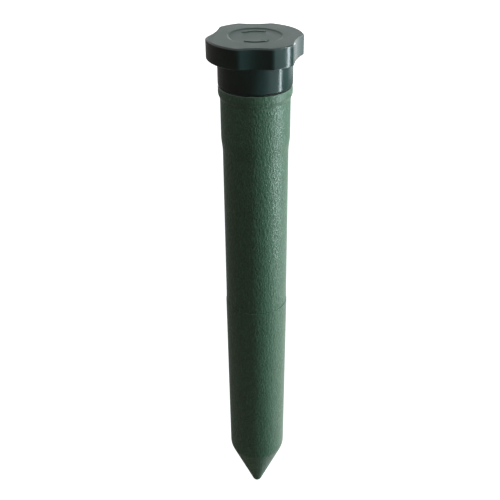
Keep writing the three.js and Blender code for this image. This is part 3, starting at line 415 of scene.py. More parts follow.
def wrinkled_plastic(name, code, painted_hollow_shade_code, painted_crest_light_code):
    """Moulded polypropylene: a satin skin with an upright leathery wrinkle, painted shade in its hollows and
    light on its crests.
    """
    # The wrinkle is drawn about as wide as a pixel of the picture, the finest that shows.
    wrinkle_width = 0.95 * mm
    pebble_width = 1.5 * wrinkle_width
    fold_width = 2.3 * mm
    fold_share = 1.3
    wrinkle_stretch = 0.5
    patch_width = 30 * mm
    hollow_shade_fold_share = 0.45
    relief = 0.23 * mm
    hollow_roughness = 0.41
    crest_roughness = 0.30
    made, tree = new_material(name)
    place = add_node(tree, "ShaderNodeTexCoord").outputs["Object"]
    drawn = add_node(tree, "ShaderNodeMapping", {"Vector": place, "Scale": (1, 1, wrinkle_stretch)})
    wrinkle = add_node(tree, "ShaderNodeTexNoise", {
        "Vector": drawn.outputs[0], "Scale": 1 / wrinkle_width, "Detail": 2.5, "Roughness": 0.55,
        "Distortion": 0.8,
    })
    fold = add_node(tree, "ShaderNodeTexNoise", {
        "Vector": drawn.outputs[0], "Scale": 1 / fold_width, "Detail": 1.0, "Distortion": 1.6,
    })
    pebble = add_node(tree, "ShaderNodeTexVoronoi", {
        "Vector": drawn.outputs[0], "Scale": 1 / pebble_width, "Smoothness": 0.6,
    }, feature="SMOOTH_F1")
    height = add_node(tree, "ShaderNodeMath", {
        0: wrinkle.outputs["Fac"], 1: pebble.outputs["Distance"],
    }, operation="SUBTRACT")
    folded = add_node(tree, "ShaderNodeMath", {
        0: fold.outputs["Fac"], 1: fold_share, 2: height.outputs[0],
    }, operation="MULTIPLY_ADD")
    patch = add_node(tree, "ShaderNodeTexNoise", {"Vector": place, "Scale": 1 / patch_width, "Detail": 3.0})
    hollow_shade_pattern = add_node(tree, "ShaderNodeMix", {
        "Factor": hollow_shade_fold_share, "A": wrinkle.outputs["Fac"], "B": fold.outputs["Fac"],
    }, data_type="FLOAT")
    # The tone paints shade into the hollows of the wrinkle and folds, and light onto their crests.
    tone = add_node(tree, "ShaderNodeValToRGB", {"Fac": hollow_shade_pattern.outputs["Result"]})
    tone.color_ramp.elements[0].position = 0.34
    tone.color_ramp.elements[0].color = colour(painted_hollow_shade_code)
    tone.color_ramp.elements[1].position = 0.66
    tone.color_ramp.elements[1].color = colour(painted_crest_light_code)
    middle = tone.color_ramp.elements.new(0.5)
    middle.color = colour(code)
    veil = add_node(tree, "ShaderNodeMapRange", {
        "Value": patch.outputs["Fac"], "From Min": 0.3, "From Max": 0.7, "To Min": 0.0, "To Max": 0.3,
    })
    skin = add_node(tree, "ShaderNodeMix", {
        "Factor": veil.outputs[0], "A": tone.outputs["Color"], "B": colour(code),
    }, data_type="RGBA")
    sheen = add_node(tree, "ShaderNodeMapRange", {
        "Value": wrinkle.outputs["Fac"], "From Min": 0.3, "From Max": 0.7,
        "To Min": hollow_roughness, "To Max": crest_roughness,
    })
    bump = add_node(tree, "ShaderNodeBump", {
        "Height": folded.outputs[0], "Distance": relief, "Strength": 0.8,
    })
    surface = add_node(tree, "ShaderNodeBsdfPrincipled", {
        "Base Color": skin.outputs["Result"], "Roughness": sheen.outputs[0], "Normal": bump.outputs[0],
        "IOR": polypropylene_ior, "Specular IOR Level": 0.8,
    })
    add_node(tree, "ShaderNodeOutputMaterial", {"Surface": surface.outputs[0]})
    return made


polypropylene_ior = 1.49
# The wrinkle breaks the highlights into small glints, and the painted shade in its hollows gives the green a
# mottled depth.
green_polypropylene = wrinkled_plastic("wrinkled_green_polypropylene", "487657", "396245", "5e8d6e")
lower_tube.data.materials.append(green_polypropylene)
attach(lower_tube, "tube")
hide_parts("lower_tube")

# Upper tube
# The half that holds the cells. Its spigot sits in the lower tube, and a soft shoulder leads to the collar.
# The same plastic and wrinkle. Above the rim stands the neck that the cap screws on.
upper_low, upper_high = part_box("upper_tube")
spigot_bottom = upper_low.z
neck_top = upper_high.z
rim_radius = upper_high.x
upper_seam = 198.2 * mm
upper_seam_radius = 22.85 * mm
upper_seam_edge = 0.12 * mm
spigot_radius = 21.3 * mm
spigot_lead = 0.5 * mm
shoulder_bottom = 321.2 * mm
shoulder_top = 333 * mm
shoulder_radius = 22.67 * mm
collar_radius = 23.6 * mm
rim_bottom = 360.1 * mm
rim_flare = 2.6 * mm
flare_top = rim_bottom + rim_flare
collar_blend = 6 * mm
rim_blend = 5.5 * mm
rim_top = 368.2 * mm
rim_edge = 0.5 * mm
neck_edge = 0.6 * mm
neck_radius = 20.8 * mm
neck_bore = 18.4 * mm
collar_bore = 19.6 * mm
bore_step = 3 * mm
upper_rib_bottom = spigot_bottom + spigot_lead
upper_rib_outside = collar_bore + 1 * mm
shoulder_steps = 12

shoulder = []
for step in range(shoulder_steps + 1):
    share = step / shoulder_steps
    swell = share * share * (3 - 2 * share)
    height = shoulder_bottom + (shoulder_top - shoulder_bottom) * share
    shoulder.append((shoulder_radius + (collar_radius - shoulder_radius) * swell, height))
upper_tube = turned("upper_tube_moulding", [
    (spigot_radius - spigot_lead, spigot_bottom),
    (spigot_radius, spigot_bottom + spigot_lead),
    (spigot_radius, upper_seam),
    *arc((spigot_radius, upper_seam), (upper_seam_radius, upper_seam), shoulder[0], upper_seam_edge, steps=3),
    *shoulder,
    *arc(shoulder[-1], (collar_radius, rim_bottom), (rim_radius, flare_top), collar_blend, steps=6),
    *arc((collar_radius, rim_bottom), (rim_radius, flare_top), (rim_radius, rim_top), rim_blend, steps=6),
    *arc((rim_radius, rim_bottom), (rim_radius, rim_top), (neck_radius, rim_top), rim_edge, steps=5),
    (neck_radius, rim_top),
    *arc((neck_radius, rim_top), (neck_radius, neck_top), (neck_bore, neck_top), neck_edge, steps=4),
])
upper_bore = turned("upper_bore", [
    (bore_at_seam, spigot_bottom - cut_overrun),
    (collar_bore, rim_bottom - bore_step),
    (neck_bore, rim_bottom),
    (neck_bore, neck_top + cut_overrun),
])
combine(upper_tube, upper_bore, "DIFFERENCE")
upper_ribs = upright_ribs(
    "upper_ribs", rib_inside, upper_rib_outside, upper_rib_bottom, rim_bottom, between_turns,
)
combine(upper_tube, upper_ribs, "UNION")
smooth(upper_tube)


def matt_solid(name, code, roughness, grain_width, relief, ior=1.5):
    """A matt moulded or pressed body: one colour with a fine grain in its height and gloss."""
    # The real grain is too fine to show, so each grain width is as coarse as it needs to show.
    pale_share = 1.25
    dark_share = 0.8
    gloss_spread = 0.08
    made, tree = new_material(name)
    place = add_node(tree, "ShaderNodeTexCoord").outputs["Object"]
    grain = add_node(tree, "ShaderNodeTexNoise", {"Vector": place, "Scale": 1 / grain_width, "Detail": 3.0})
    pale = [min(1, part * pale_share) for part in colour(code)[:3]]
    dark = [part * dark_share for part in colour(code)[:3]]
    tone = add_node(tree, "ShaderNodeMix", {
        "Factor": grain.outputs["Fac"], "A": (*dark, 1), "B": (*pale, 1),
    }, data_type="RGBA")
    gloss = add_node(tree, "ShaderNodeMapRange", {
        "Value": grain.outputs["Fac"], "To Min": roughness + gloss_spread, "To Max": roughness - gloss_spread,
    })
    bump = add_node(tree, "ShaderNodeBump", {"Height": grain.outputs["Fac"], "Distance": relief})
    surface = add_node(tree, "ShaderNodeBsdfPrincipled", {
        "Base Color": tone.outputs["Result"], "Roughness": gloss.outputs[0], "Normal": bump.outputs[0],
        "IOR": ior,
    })
    add_node(tree, "ShaderNodeOutputMaterial", {"Surface": surface.outputs[0]})
    return made


# The bore, the spigot and the neck are moulded without the wrinkle, so that they fit and turn freely.
# Beside the leathery outside they look plain and even, with long smooth highlights.
plain_polypropylene = matt_solid(
    "plain_green_polypropylene", "487657", roughness=0.36, grain_width=1.5 * mm, relief=0.01 * mm,
    ior=polypropylene_ior,
)
spigot_slack = 0.1 * mm
# A height too small to see, which keeps two levels apart.
hair = 0.01 * mm
upper_tube.data.materials.append(green_polypropylene)
upper_tube.data.materials.append(plain_polypropylene)
for face in upper_tube.data.polygons:
    inside = face.center.xy.length < spigot_radius + spigot_slack
    on_neck = face.center.z > rim_top - hair
    face.material_index = 1 if inside or on_neck else 0
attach(upper_tube, "tube")
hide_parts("upper_tube")

# Screw thread
# A coarse right-hand ridge moulded round the neck, and its partner inside the cap's skirt.
# One turn of the cap lifts it by one pitch, so the two ridges stay clear of each other while it turns.
thread_pitch = 4.5 * mm
thread_depth = 0.95 * mm
thread_root_width = 2 * mm
thread_crest_share = 0.5
thread_root = 0.3 * mm
thread_bottom = rim_top + 3.4 * mm
neck_thread_turns = 2.4
cap_thread_turns = 2.2
cap_bore = 22.2 * mm
cap_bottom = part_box("screw_cap")[0].z
thread_steps = 48


def thread(name, root_radius, crest_radius, bottom, turns, turned_by):
    """A ridge with a trapezium section, wound up round the axis and pointed at both ends."""
    bpy.ops.object.select_all(action="DESELECT")
    middle = (root_radius + crest_radius) / 2
    bpy.ops.mesh.primitive_plane_add(size=1, location=(middle, 0, bottom), rotation=(math.pi / 2, 0, 0))
    made = bpy.context.object
    made.name = name
    made.data.name = name
    made.scale = (abs(crest_radius - root_radius), thread_root_width, 1)
    bpy.ops.object.transform_apply(location=True, rotation=True, scale=True)
    outward = crest_radius > root_radius
    for vertex in made.data.vertices:
        vertex.select = (vertex.co.x > middle) == outward
    bpy.context.tool_settings.mesh_select_mode = (True, False, False)
    bpy.ops.object.mode_set(mode="EDIT")
    bpy.ops.transform.resize(value=(1, 1, thread_crest_share), center_override=(crest_radius, 0, bottom))
    bpy.ops.mesh.select_all(action="SELECT")
    bpy.ops.transform.rotate(value=turned_by, orient_axis="Z", center_override=(0, 0, 0))
    bpy.ops.mesh.delete(type="ONLY_FACE")
    bpy.ops.object.mode_set(mode="OBJECT")
    winding = made.modifiers.new("winding", "SCREW")
    winding.angle = 2 * math.pi * turns
    winding.screw_offset = thread_pitch * turns
    winding.steps = round(thread_steps * turns)
    winding.render_steps = winding.steps
    bpy.ops.object.modifier_apply(modifier=winding.name)
    corners = 4
    for end in (slice(0, corners), slice(-corners, None)):
        for vertex in made.data.vertices:
            vertex.select = False
        for edge in made.data.edges:
            edge.select = False
        for face in made.data.polygons:
            face.select = False
        for vertex in made.data.vertices[end]:
            vertex.select = True
        bpy.ops.object.mode_set(mode="EDIT")
        bpy.ops.mesh.merge(type="CENTER")
        bpy.ops.object.mode_set(mode="OBJECT")
    bpy.ops.object.mode_set(mode="EDIT")
    bpy.ops.mesh.select_all(action="SELECT")
    bpy.ops.mesh.normals_make_consistent(inside=False)
    bpy.ops.object.mode_set(mode="OBJECT")
    smooth(made, degrees=35)
    return made


neck_thread = thread(
    "neck_thread", neck_radius - thread_root, neck_radius + thread_depth, thread_bottom, neck_thread_turns,
    turned_by=0,
)
neck_thread.data.materials.append(plain_polypropylene)
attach(neck_thread, "tube")
cap_thread = thread(
    "cap_thread", cap_bore + thread_root, cap_bore - thread_depth, thread_bottom, cap_thread_turns,
    turned_by=math.pi,
)

# Screw cap
# The closure of the cell tube: a smooth skirt under a lobed head, with a shallow dish on top.
# Injection moulded from dark green ABS in a polished mould, cored out from below, and turned by hand.
head_radius = 32.1 * mm
head_bottom = 387.1 * mm
head_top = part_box("screw_cap")[1].z
head_edge = 1.1 * mm
head_under_edge = 0.6 * mm
skirt_radius = 24.9 * mm
skirt_edge = 0.4 * mm
skirt_lap = 2 * mm
cap_wall = 3.4 * mm
ceiling = head_top - cap_wall
cup_bore = 20.3 * mm
cup_step = 387.5 * mm
dish_radius = 18 * mm
dish_depth = 0.6 * mm
dish_floor = head_top - dish_depth
dish_flat_radius = dish_radius - 2 * mm
dish_foot_radius = dish_radius - 1.1 * mm
dish_foot_round = 1 * mm
dish_lip_radius = dish_radius + 1 * mm
dish_lip_round = 0.8 * mm
grip_hollow = 1.45 * mm
grip_round = 1.2 * mm
grip_reach_share = 1.3
grip_steps = 360
front_share = 0.108
side_share = 0.129
side_turn_share = 0.2014

scallops = []
for turn in (0, math.pi):
    scallops.append((turn, math.pi * front_share))
    scallops.append((turn + 2 * math.pi * side_turn_share, math.pi * side_share))


def grip_radius(angle):
    """The head's radius at an angle from the front: a circle with four scallops, their corners rounded."""
    radius = head_radius
    for centre, half in scallops:
        aside = (angle - centre + math.pi) % (2 * math.pi) - math.pi
        if abs(aside) > half * grip_reach_share:
            continue
        chord = head_radius * math.sin(half)
        hollow_radius = (chord * chord + grip_hollow * grip_hollow) / (2 * grip_hollow)
        reach = head_radius * math.cos(half) - grip_hollow + hollow_radius
        across = reach * math.sin(aside)
        dip = reach * math.cos(aside) - math.sqrt(hollow_radius * hollow_radius - across * across)
        blend = max(grip_round - abs(dip - radius), 0) / grip_round
        radius = min(dip, radius) - blend * blend * grip_round / 4
    return radius


bpy.ops.object.select_all(action="DESELECT")
bpy.ops.mesh.primitive_circle_add(
    vertices=grip_steps, radius=head_radius, fill_type="NGON", location=(0, 0, head_bottom),
)
screw_cap = bpy.context.object
screw_cap.name = "screw_cap_moulding"
screw_cap.data.name = "screw_cap_moulding"
bpy.ops.object.transform_apply(location=True, rotation=True, scale=True)
for vertex in screw_cap.data.vertices:
    angle = math.atan2(vertex.co.x, -vertex.co.y)
    radius = grip_radius(angle)
    vertex.co.x = radius * math.sin(angle)
    vertex.co.y = -radius * math.cos(angle)
bpy.ops.object.mode_set(mode="EDIT")
bpy.ops.mesh.select_all(action="SELECT")
bpy.ops.mesh.extrude_region_move(TRANSFORM_OT_translate={"value": (0, 0, head_top - head_bottom)})
bpy.ops.object.mode_set(mode="OBJECT")


def bevel_ring(piece, height, width, steps):
    """Rounds the edges of a piece that lie all round at one height."""
    slack = width / 100
    mesh = piece.data
    for face in mesh.polygons:
        face.select = False
    for vertex in mesh.vertices:
        vertex.select = False
    for edge in mesh.edges:
        edge.select = all(abs(mesh.vertices[end].co.z - height) < slack for end in edge.vertices)
    bpy.context.tool_settings.mesh_select_mode = (False, True, False)
    bpy.ops.object.mode_set(mode="EDIT")
    bpy.ops.mesh.bevel(offset=width, segments=steps, profile=0.5)
    bpy.ops.mesh.select_all(action="SELECT")
    bpy.ops.mesh.normals_make_consistent(inside=False)
    bpy.ops.object.mode_set(mode="OBJECT")


bevel_ring(screw_cap, head_top, head_edge, steps=5)
bevel_ring(screw_cap, head_bottom, head_under_edge, steps=3)
skirt = turned("skirt", [
    *arc((0, cap_bottom), (skirt_radius, cap_bottom), (skirt_radius, head_bottom), skirt_edge, steps=4),
    (skirt_radius, head_bottom + skirt_lap),
])
combine(screw_cap, skirt, "UNION")
cap_inside = turned("cap_inside", [
    (cap_bore + skirt_edge, cap_bottom - cut_overrun),
    (cap_bore + skirt_edge, cap_bottom),
    (cap_bore, cap_bottom + skirt_edge),
    (cap_bore, cup_step),
    (cup_bore, cup_step),
    (cup_bore, ceiling),
])
combine(screw_cap, cap_inside, "DIFFERENCE")
dish_foot = (dish_foot_radius, dish_floor)
dish_edge = (dish_radius, head_top)
dish = turned("dish", [
    (dish_flat_radius, dish_floor),
    *arc((0, dish_floor), dish_foot, dish_edge, dish_foot_round, steps=4),
    *arc(dish_foot, dish_edge, (head_radius, head_top), dish_lip_round, steps=4),
    (dish_lip_radius, head_top + hair),
    (dish_lip_radius, head_top + cut_overrun),
])
combine(screw_cap, dish, "DIFFERENCE")


def swept_block(name, inside, outside, bottom, top, start, sweep, steps):
    """A block that follows a circle round the axis, anticlockwise by the sweep from a start angle."""
    weld = 0.001 * mm
    bpy.ops.object.select_all(action="DESELECT")
    middle = ((inside + outside) / 2, 0, (bottom + top) / 2)
    bpy.ops.mesh.primitive_plane_add(size=1, location=middle, rotation=(math.pi / 2, 0, 0))
    made = bpy.context.object
    made.name = name
    made.scale = (outside - inside, top - bottom, 1)
    bpy.ops.object.transform_apply(location=True, rotation=True, scale=True)
    bpy.ops.object.mode_set(mode="EDIT")
    bpy.ops.mesh.select_all(action="SELECT")
    bpy.ops.transform.rotate(value=-start, orient_axis="Z", center_override=(0, 0, 0))
    bpy.ops.mesh.spin(steps=steps, angle=-sweep, center=(0, 0, 0), axis=(0, 0, 1))
    bpy.ops.mesh.select_all(action="SELECT")
    bpy.ops.mesh.remove_doubles(threshold=weld)
    bpy.ops.mesh.normals_make_consistent(inside=False)
    bpy.ops.object.mode_set(mode="OBJECT")
    return made


# Two plain arrows stand in the dish and show which way the cap opens.
arrow_inside = 11.4 * mm
arrow_outside = 13.4 * mm
arrow_raise = 0.4 * mm
arrow_root = 0.3 * mm
arrow_span = math.radians(64)
arrow_head = 2.6 * mm
arrow_bottom = dish_floor - arrow_root
arrow_top = dish_floor + arrow_raise
arrow_radius = (arrow_inside + arrow_outside) / 2
arrow_point = (
    arrow_radius * math.cos(arrow_span), arrow_radius * math.sin(arrow_span), (arrow_bottom + arrow_top) / 2,
)
for turn in (0, math.pi):
    shaft = swept_block(
        "arrow_shaft", arrow_inside, arrow_outside, arrow_bottom, arrow_top,
        start=0, sweep=arrow_span, steps=16,
    )
    bpy.ops.object.select_all(action="DESELECT")
    bpy.ops.mesh.primitive_cylinder_add(
        vertices=3, radius=arrow_head, depth=arrow_top - arrow_bottom, location=arrow_point,
        rotation=(0, 0, arrow_span),
    )
    combine(shaft, bpy.context.object, "UNION")
    bpy.ops.object.mode_set(mode="EDIT")
    bpy.ops.mesh.select_all(action="SELECT")
    start_turn = turn - math.pi / 2 - arrow_span / 2
    bpy.ops.transform.rotate(value=-start_turn, orient_axis="Z", center_override=(0, 0, 0))
    bpy.ops.object.mode_set(mode="OBJECT")
    combine(screw_cap, shaft, "UNION")

# Pockets core the head out from below, with ribs left between them, and none lies behind a scallop.
pocket_wall = 2.2 * mm
pocket_land = 0.8 * mm
pocket_span = math.radians(34)
pocket_bottom = head_bottom - cut_overrun
pocket_inside = skirt_radius + pocket_land
pocket_outside = head_radius - pocket_wall
for place, (centre, half) in enumerate(scallops):
    next_centre, next_half = scallops[(place + 1) % len(scallops)]
    start = centre + half
    end = next_centre - next_half + (0 if next_centre > centre else 2 * math.pi)
    count = round((end - start) / pocket_span)
    width = (end - start) / count - pocket_wall / pocket_inside
    for index in range(count):
        middle = start + (end - start) * (index + 0.5) / count
        pocket = swept_block(
            "pocket", pocket_inside, pocket_outside, pocket_bottom, ceiling,
            start=middle - math.pi / 2 - width / 2, sweep=width, steps=12,
        )
        combine(screw_cap, pocket, "DIFFERENCE")
smooth(screw_cap)


def moulded_abs(name, code, deep_code, gloss, dull, peel_width, peel_depth):
    """Moulded ABS: a dark skin with a faint relief, and a film left by hands that is duller in places."""
    # The relief and the flecks are finer on the real cap, and are drawn as coarse as they need to show.
    film_width = 11 * mm
    fleck_width = 0.5 * mm
    fleck_spread = 0.04
    abs_ior = 1.54
    made, tree = new_material(name)
    place = add_node(tree, "ShaderNodeTexCoord").outputs["Object"]
    peel = add_node(tree, "ShaderNodeTexNoise", {"Vector": place, "Scale": 1 / peel_width, "Detail": 1.0})
    film = add_node(tree, "ShaderNodeTexNoise", {
        "Vector": place, "Scale": 1 / film_width, "Detail": 5.0, "Roughness": 0.6,
    })
    fleck = add_node(tree, "ShaderNodeTexNoise", {"Vector": place, "Scale": 1 / fleck_width, "Detail": 1.0})
    tone = add_node(tree, "ShaderNodeMix", {
        "Factor": film.outputs["Fac"], "A": colour(deep_code), "B": colour(code),
    }, data_type="RGBA")
    filmed = add_node(tree, "ShaderNodeMapRange", {
        "Value": film.outputs["Fac"], "From Min": 0.35, "From Max": 0.7, "To Min": gloss, "To Max": dull,
    })
    mixed = add_node(tree, "ShaderNodeMath", {
        0: fleck.outputs["Fac"], 1: fleck_spread, 2: filmed.outputs[0],
    }, operation="MULTIPLY_ADD")
    bump = add_node(tree, "ShaderNodeBump", {
        "Height": peel.outputs["Fac"], "Distance": peel_depth, "Strength": 0.5,
    })
    surface = add_node(tree, "ShaderNodeBsdfPrincipled", {
        "Base Color": tone.outputs["Result"], "Roughness": mixed.outputs[0], "Normal": bump.outputs[0],
        "IOR": abs_ior,
    })
    add_node(tree, "ShaderNodeOutputMaterial", {"Surface": surface.outputs[0]})
    return made


# The sides come from a polished mould, so they look almost black with sharp streaks of light.
polished_abs = moulded_abs(
    "polished_dark_green_abs", "264b45", "1f4039", gloss=0.11, dull=0.2, peel_width=2.6 * mm,
    peel_depth=0.02 * mm,
)
# The mould's top was spark-eroded, so the top of the cap is satin, looks greener and mirrors nothing sharply.
satin_abs = moulded_abs(
    "spark_eroded_dark_green_abs", "2c4a40", "24403a", gloss=0.49, dull=0.56, peel_width=0.6 * mm,
    peel_depth=0.03 * mm,
)
screw_cap.data.materials.append(polished_abs)
screw_cap.data.materials.append(satin_abs)
satin_radius = dish_radius + 0.5 * mm
nearly_level = 0.9
for face in screw_cap.data.polygons:
    in_dish = face.center.xy.length < satin_radius
    on_top = face.center.z > dish_floor - hair and (in_dish or face.normal.z > nearly_level)
    face.material_index = 1 if on_top else 0
cap_thread.data.materials.append(polished_abs)
for piece in (screw_cap, cap_thread):
    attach(piece, "cap")
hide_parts("screw_cap")

# Cap gasket
# A flat black rubber ring that the skirt presses on the rim of the tube.
# Its hole is just wider than the neck's thread, so that it slips over the thread with the cap.
gasket_low, gasket_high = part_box("cap_seal_ring")
gasket_clearance = 0.2 * mm
gasket_inside = neck_radius + thread_depth + gasket_clearance
gasket_round = 0.3 * mm
lower_edge = (gasket_high.x, gasket_low.z)
upper_edge = (gasket_high.x, gasket_high.z)
gasket = turned("cap_gasket", [
    *arc((0, gasket_low.z), lower_edge, upper_edge, gasket_round, steps=4),
    *arc(lower_edge, upper_edge, (0, gasket_high.z), gasket_round, steps=4),
])
gasket_hole = turned("gasket_hole", [
    (gasket_inside, gasket_low.z - cut_overrun),
    (gasket_inside, gasket_high.z + cut_overrun),
])
combine(gasket, gasket_hole, "DIFFERENCE")
smooth(gasket)

# Moulded nitrile rubber is dull and almost black, so it shows as a dark line under the skirt.
black_rubber = matt_solid("moulded_nitrile_rubber", "1d1f20", 0.72, 0.4 * mm, 0.02 * mm)
gasket.data.materials.append(black_rubber)
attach(gasket, "cap_seal")
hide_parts("cap_seal_ring")


def dress(made, *names):
    """Gives a finish to pieces of the frame that keep their own shape."""
    for name in names:
        for slot in nodes[name].material_slots:
            slot.material = made


dress(black_rubber, "tube_joint_seal")


# Contacts and weight
# The cup and rivet in the cap, the ring on the neck, the return strip, the contact under the cells and the
# motor's terminals are stamped from brass strip. The eccentric weight is turned from brass bar.
def worked_metal(name, code, roughness, line_width, drawn=(1, 1, 1)):
    """A bare or plated metal: fine lines left by rolling, drawing or turning, and a faint patchy tarnish."""
    # The real lines are too fine to show, so each line width is as coarse as it needs to show.
    patch_width = 6 * mm
    tarnish_share = 0.72
    line_gloss = 0.08
    line_dull = 0.1
    line_relief = 0.01 * mm
    made, tree = new_material(name)
    place = add_node(tree, "ShaderNodeTexCoord").outputs["Object"]
    along = add_node(tree, "ShaderNodeMapping", {"Vector": place, "Scale": drawn})
    lines = add_node(tree, "ShaderNodeTexNoise", {
        "Vector": along.outputs[0], "Scale": 1 / line_width, "Detail": 3.0,
    })
    patch = add_node(tree, "ShaderNodeTexNoise", {"Vector": place, "Scale": 1 / patch_width, "Detail": 4.0})
    dimmed = [part * tarnish_share for part in colour(code)[:3]]
    tone = add_node(tree, "ShaderNodeMix", {
        "Factor": patch.outputs["Fac"], "A": (*dimmed, 1), "B": colour(code),
    }, data_type="RGBA")
    gloss = add_node(tree, "ShaderNodeMapRange", {
        "Value": lines.outputs["Fac"], "To Min": roughness - line_gloss, "To Max": roughness + line_dull,
    })
    bump = add_node(tree, "ShaderNodeBump", {"Height": lines.outputs["Fac"], "Distance": line_relief})
    surface = add_node(tree, "ShaderNodeBsdfPrincipled", {
        "Base Color": tone.outputs["Result"], "Roughness": gloss.outputs[0], "Normal": bump.outputs[0],
        "Metallic": 1.0,
    })
    add_node(tree, "ShaderNodeOutputMaterial", {"Surface": surface.outputs[0]})
    return made


# Rolling leaves lines along the strip, which widen the highlights a little.
rolled_brass = worked_metal("rolled_brass", "d9bd74", 0.3, 0.25 * mm, (1, 1, 0.1))
# Turning leaves fine rings round the weight, drawn here as lines across its height.
turned_brass = worked_metal("turned_brass", "cfb068", 0.34, 0.3 * mm, (0.1, 0.1, 1))
dress(
    rolled_brass, "cap_contact_cup", "contact_rivet", "neck_contact_ring", "return_strip", "positive_contact",
    "motor_terminal_plus", "motor_terminal_minus",
)
dress(turned_brass, "eccentric_weight")

# Spring, shaft and screws
# The conical spring that presses the cells down is coiled from nickel-plated wire.
# The motor's shaft is ground steel, and the screws are zinc plated.
# Nickel plate is bright and slightly warm, ground steel shows fine rings, and zinc plate is dull and bluish.
nickel_plate = worked_metal("nickel_plated_spring_wire", "d6d3cb", 0.2, 0.4 * mm)
ground_steel = worked_metal("ground_steel", "c4c6c9", 0.22, 0.2 * mm, (0.2, 0.2, 1))
zinc_plate = worked_metal("zinc_plated_steel", "bcc2c8", 0.36, 0.5 * mm)
dress(nickel_plate, "battery_spring")
dress(ground_steel, "motor_shaft")
dress(zinc_plate, "cradle_screw_1", "cradle_screw_2", "motor_screw_1", "motor_screw_2")


# Cells
# Four D cells, stacked with the positive end down: steel cans in a shrunk plastic jacket, bare of any print.
# The jacket laps over the rims, and the button and the base inside it are nickel-plated steel.
def jacketed_cell(name, low, high):
    """A metallised jacket over a steel can: the jacket covers the side, and the ends inside it are bare."""
    # Film shrunk on bright metal gives soft silver highlights, which its faint creases break up.
    lap = 14.6 * mm
    band_share = 0.3
    crease_width = 3 * mm
    crease_relief = 0.03 * mm
    made, tree = new_material(name)
    place = add_node(tree, "ShaderNodeTexCoord").outputs["Object"]
    parts = add_node(tree, "ShaderNodeSeparateXYZ", {"Vector": place})
    flat = add_node(tree, "ShaderNodeCombineXYZ", {"X": parts.outputs["X"], "Y": parts.outputs["Y"]})
    reach = add_node(tree, "ShaderNodeVectorMath", {0: flat.outputs[0]}, operation="LENGTH")
    jacket = add_node(tree, "ShaderNodeMath", {0: reach.outputs["Value"], 1: lap}, operation="GREATER_THAN")
    height = add_node(tree, "ShaderNodeMapRange", {
        "Value": parts.outputs["Z"], "From Min": low, "From Max": high,
    })
    band = add_node(tree, "ShaderNodeMath", {0: height.outputs[0], 1: band_share}, operation="LESS_THAN")
    wrap = add_node(tree, "ShaderNodeMix", {
        "Factor": band.outputs[0], "A": colour("8c9196"), "B": colour("b07a45"),
    }, data_type="RGBA")
    crease = add_node(tree, "ShaderNodeTexNoise", {"Vector": place, "Scale": 1 / crease_width, "Detail": 2.0})
    tone = add_node(tree, "ShaderNodeMix", {
        "Factor": jacket.outputs[0], "A": colour("cfccc4"), "B": wrap.outputs["Result"],
    }, data_type="RGBA")
    gloss = add_node(tree, "ShaderNodeMapRange", {
        "Value": crease.outputs["Fac"], "To Min": 0.24, "To Max": 0.36,
    })
    bump = add_node(tree, "ShaderNodeBump", {"Height": crease.outputs["Fac"], "Distance": crease_relief})
    surface = add_node(tree, "ShaderNodeBsdfPrincipled", {
        "Base Color": tone.outputs["Result"], "Roughness": gloss.outputs[0], "Normal": bump.outputs[0],
        "Metallic": 0.85,
    })
    add_node(tree, "ShaderNodeOutputMaterial", {"Surface": surface.outputs[0]})
    return made


for number in (1, 2, 3, 4):
    cell_low, cell_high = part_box(f"battery_{number}")
    dress(jacketed_cell(f"metallised_cell_jacket_{number}", cell_low.z, cell_high.z), f"battery_{number}")

# Drive cradle
# The frame that carries the board above and the motor below, held on the lower tube's bosses by two screws.
# Moulded from grey glass-filled nylon, whose fibres leave a dry matt skin.
grey_nylon = matt_solid("glass_filled_grey_nylon", "3d4043", 0.62, 0.7 * mm, 0.02 * mm)
dress(grey_nylon, "drive_cradle")


# Circuit board and its parts
# A round glass-epoxy board under green solder mask. It carries a timer chip and a transistor of moulded
# epoxy, a capacitor in a blue shrunk sleeve without print, and a lacquered resistor.
def masked_board(name):
    """Solder mask over copper: broad tracks show through as paler green bands, over the laminate's weave."""
    # The tracks and the weave are wider than on a real board, as coarse as they need to show.
    track_width = 2.4 * mm
    weave_width = 0.4 * mm
    weave_share = 0.2
    track_relief = 0.03 * mm
    made, tree = new_material(name)
    place = add_node(tree, "ShaderNodeTexCoord").outputs["Object"]
    tracks = add_node(tree, "ShaderNodeTexVoronoi", {
        "Vector": place, "Scale": 1 / track_width, "Randomness": 0.35,
    }, feature="DISTANCE_TO_EDGE", distance="CHEBYCHEV")
    copper = add_node(tree, "ShaderNodeMapRange", {
        "Value": tracks.outputs["Distance"], "From Min": 0.12, "From Max": 0.16, "To Min": 1.0, "To Max": 0.0,
    })
    weave = add_node(tree, "ShaderNodeTexNoise", {"Vector": place, "Scale": 1 / weave_width, "Detail": 2.0})
    tone = add_node(tree, "ShaderNodeMix", {
        "Factor": copper.outputs[0], "A": colour("1f5432"), "B": colour("3d7a4a"),
    }, data_type="RGBA")
    raised = add_node(tree, "ShaderNodeMath", {
        0: weave.outputs["Fac"], 1: weave_share, 2: copper.outputs[0],
    }, operation="MULTIPLY_ADD")
    bump = add_node(tree, "ShaderNodeBump", {"Height": raised.outputs[0], "Distance": track_relief})
    surface = add_node(tree, "ShaderNodeBsdfPrincipled", {
        "Base Color": tone.outputs["Result"], "Roughness": 0.32, "Normal": bump.outputs[0], "IOR": 1.55,
    })
    add_node(tree, "ShaderNodeOutputMaterial", {"Surface": surface.outputs[0]})
    return made


